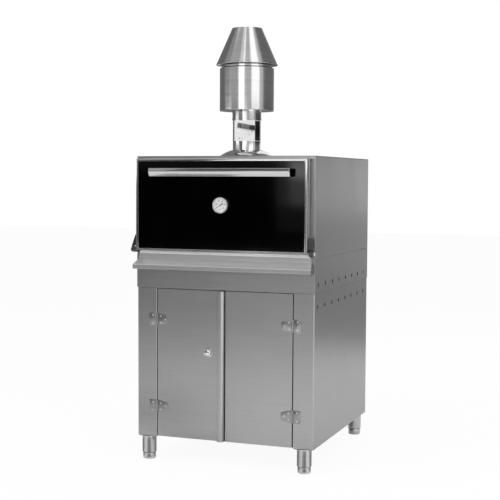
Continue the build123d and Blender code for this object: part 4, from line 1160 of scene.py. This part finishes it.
wedgeCards = [
    # on the floor round each front leg: from and to in degrees, brightness
    ("wedgeLeft", -165, -74, 0.28),
    ("wedgeLeftFade", -74, -54, 0.5),
    ("wedgeFrontFade", -12, 5, 0.5),
    ("wedgeFront", 5, 36, 0.27),
    ("wedgeSideFade", 36, 50, 0.5),
    ("wedgeRightFade", 94, 118, 0.5),
    ("wedgeRight", 118, 195, 0.28),
]
lamps = [
    # name, place, watts, width
    ("keyLamp", (-2.6, -3.4, 3.6), 110, 2.4),
    ("fillLamp", (3.2, -2.6, 2.8), 60, 2.2),
    ("backLamp", (1.6, 3.4, 3.4), 45, 2.2),
]


def glowMaterial(name, brightness):
    material = bpy.data.materials.new(name)
    material.use_nodes = True
    tree = material.node_tree
    tree.nodes.clear()
    glow = addNode(tree, "ShaderNodeEmission", Strength=brightness)
    out = addNode(tree, "ShaderNodeOutputMaterial")
    tree.links.new(glow.outputs[0], out.inputs["Surface"])
    return material


def addCard(name, brightness, spot, size, turn=(0, 0, 0), taper=1):
    # a card that only the metal sees; taper is how wide one end is beside the other
    bpy.ops.mesh.primitive_plane_add(size=1, location=(0, 0, 0))
    card = bpy.context.object
    card.name = name
    if taper < 1:
        editMode(True)
        pick(card, "VERT", lambda point: point.co.y > 0)
        bpy.ops.transform.resize(value=(taper, 1, 1), center_override=(0, 0, 0))
        editMode(False)
    card.location = spot
    card.rotation_euler = turn
    card.scale = size
    card.data.materials.append(glowMaterial(name, brightness))
    for ray in ("camera", "diffuse", "shadow", "transmission", "volume_scatter"):
        setattr(card, "visible_" + ray, False)


def fan(start, end, widest):
    # parts of a turn, none much over the widest: number, middle angle, and half a width at a reach of 1
    turn = math.radians(end - start)
    count = max(1, round((end - start) / widest))
    half = math.tan(turn / count / 2)
    return [(i, math.radians(start) + turn * (i + 0.5) / count, half) for i in range(count)]


def addCards(group, reach):
    for name, start, end, low, top, brightness in group:
        for i, angle, half in fan(start, end, studio["cardTurn"]):
            spot = (reach * math.sin(angle), -reach * math.cos(angle), (low + top) / 2)
            size = (2 * reach * half, top - low, 1)
            addCard(f"{name}Card{i}", brightness, spot, size, turn=(math.radians(90), 0, angle))


def addFlatCards():
    for name, corner, far, height, brightness in flatCards:
        spot = ((corner[0] + far[0]) / 2, (corner[1] + far[1]) / 2, height)
        addCard(name + "Card", brightness, spot, (far[0] - corner[0], far[1] - corner[1], 1))


def addWedgeCards():
    near, far, height = studio["wedgeNear"], studio["wedgeFar"], studio["wedgeHeight"]
    reach = (near + far) / 2
    for node in ("foot_front_left", "foot_front_right"):
        low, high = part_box(node)
        middle = (low + high) / 2
        for name, start, end, brightness in wedgeCards:
            for i, angle, half in fan(start, end, studio["wedgeTurn"]):
                spot = (middle.x + reach * math.sin(angle), middle.y - reach * math.cos(angle), height)
                size = (2 * half * far, far - near, 1)
                addCard(f"{name}Card{i}_{node}", brightness, spot, size, turn=(0, 0, angle), taper=near / far)


def addLamps():
    aim = Vector(studio["lampAim"])
    for name, spot, watts, width in lamps:
        bpy.ops.object.light_add(type="AREA", location=spot)
        lamp = bpy.context.object
        lamp.name = name
        lamp.data.energy = watts
        lamp.data.size = width
        lamp.rotation_euler = (aim - Vector(spot)).to_track_quat("-Z", "Y").to_euler()
        lamp.visible_glossy = False


def addFloor():
    material, tree, shader = newMaterial("floorPaper")
    pale = studio["floorColor"]
    shaded = tuple(c * studio["floorShade"] for c in pale)
    tint = mix(tree, spreadNoise(tree, objectNoise(tree, 3, 3)), shaded, pale)
    tree.links.new(tint, shader.inputs["Base Color"])
    shader.inputs["Roughness"].default_value = studio["floorRough"]
    # seen plainly, part of the paper's white is its own, so that it meets the white surround
    path = addNode(tree, "ShaderNodeLightPath")
    glow = addNode(tree, "ShaderNodeEmission")
    part = ramp(tree, path.outputs["Is Camera Ray"], 0, 1, 0.0, studio["floorGlow"])
    blend = addNode(tree, "ShaderNodeMixShader")
    out = tree.nodes["Material Output"]
    tree.links.new(part, blend.inputs[0])
    tree.links.new(shader.outputs[0], blend.inputs[1])
    tree.links.new(glow.outputs[0], blend.inputs[2])
    tree.links.new(blend.outputs[0], out.inputs["Surface"])
    bpy.ops.mesh.primitive_plane_add(size=studio["floorSize"], location=(0, 0, 0))
    floor = bpy.context.object
    floor.name = "floor"
    floor.data.materials.append(material)


def lightWorld():
    # the surround is white where it is seen, plain or in metal and glass, and softer as a light
    world = bpy.data.worlds.new("surround")
    bpy.context.scene.world = world
    world.use_nodes = True
    tree = world.node_tree
    back = tree.nodes["Background"]
    back.inputs["Color"].default_value = (1, 1, 1, 1)
    path = addNode(tree, "ShaderNodeLightPath")
    seen = path.outputs["Is Camera Ray"]
    for ray in ("Is Glossy Ray", "Is Transmission Ray"):
        either = addNode(tree, "ShaderNodeMath", operation="MAXIMUM")
        tree.links.new(seen, either.inputs[0])
        tree.links.new(path.outputs[ray], either.inputs[1])
        seen = either.outputs[0]
    tree.links.new(ramp(tree, seen, 0, 1, studio["ambient"], 1.0), back.inputs["Strength"])


addFloor()
addCards(cards, studio["cardDistance"])
addCards(nearCards, studio["nearDistance"])
addFlatCards()
addWedgeCards()
addLamps()
lightWorld()
bpy.context.scene.view_settings.view_transform = "Standard"
print("studio lit")
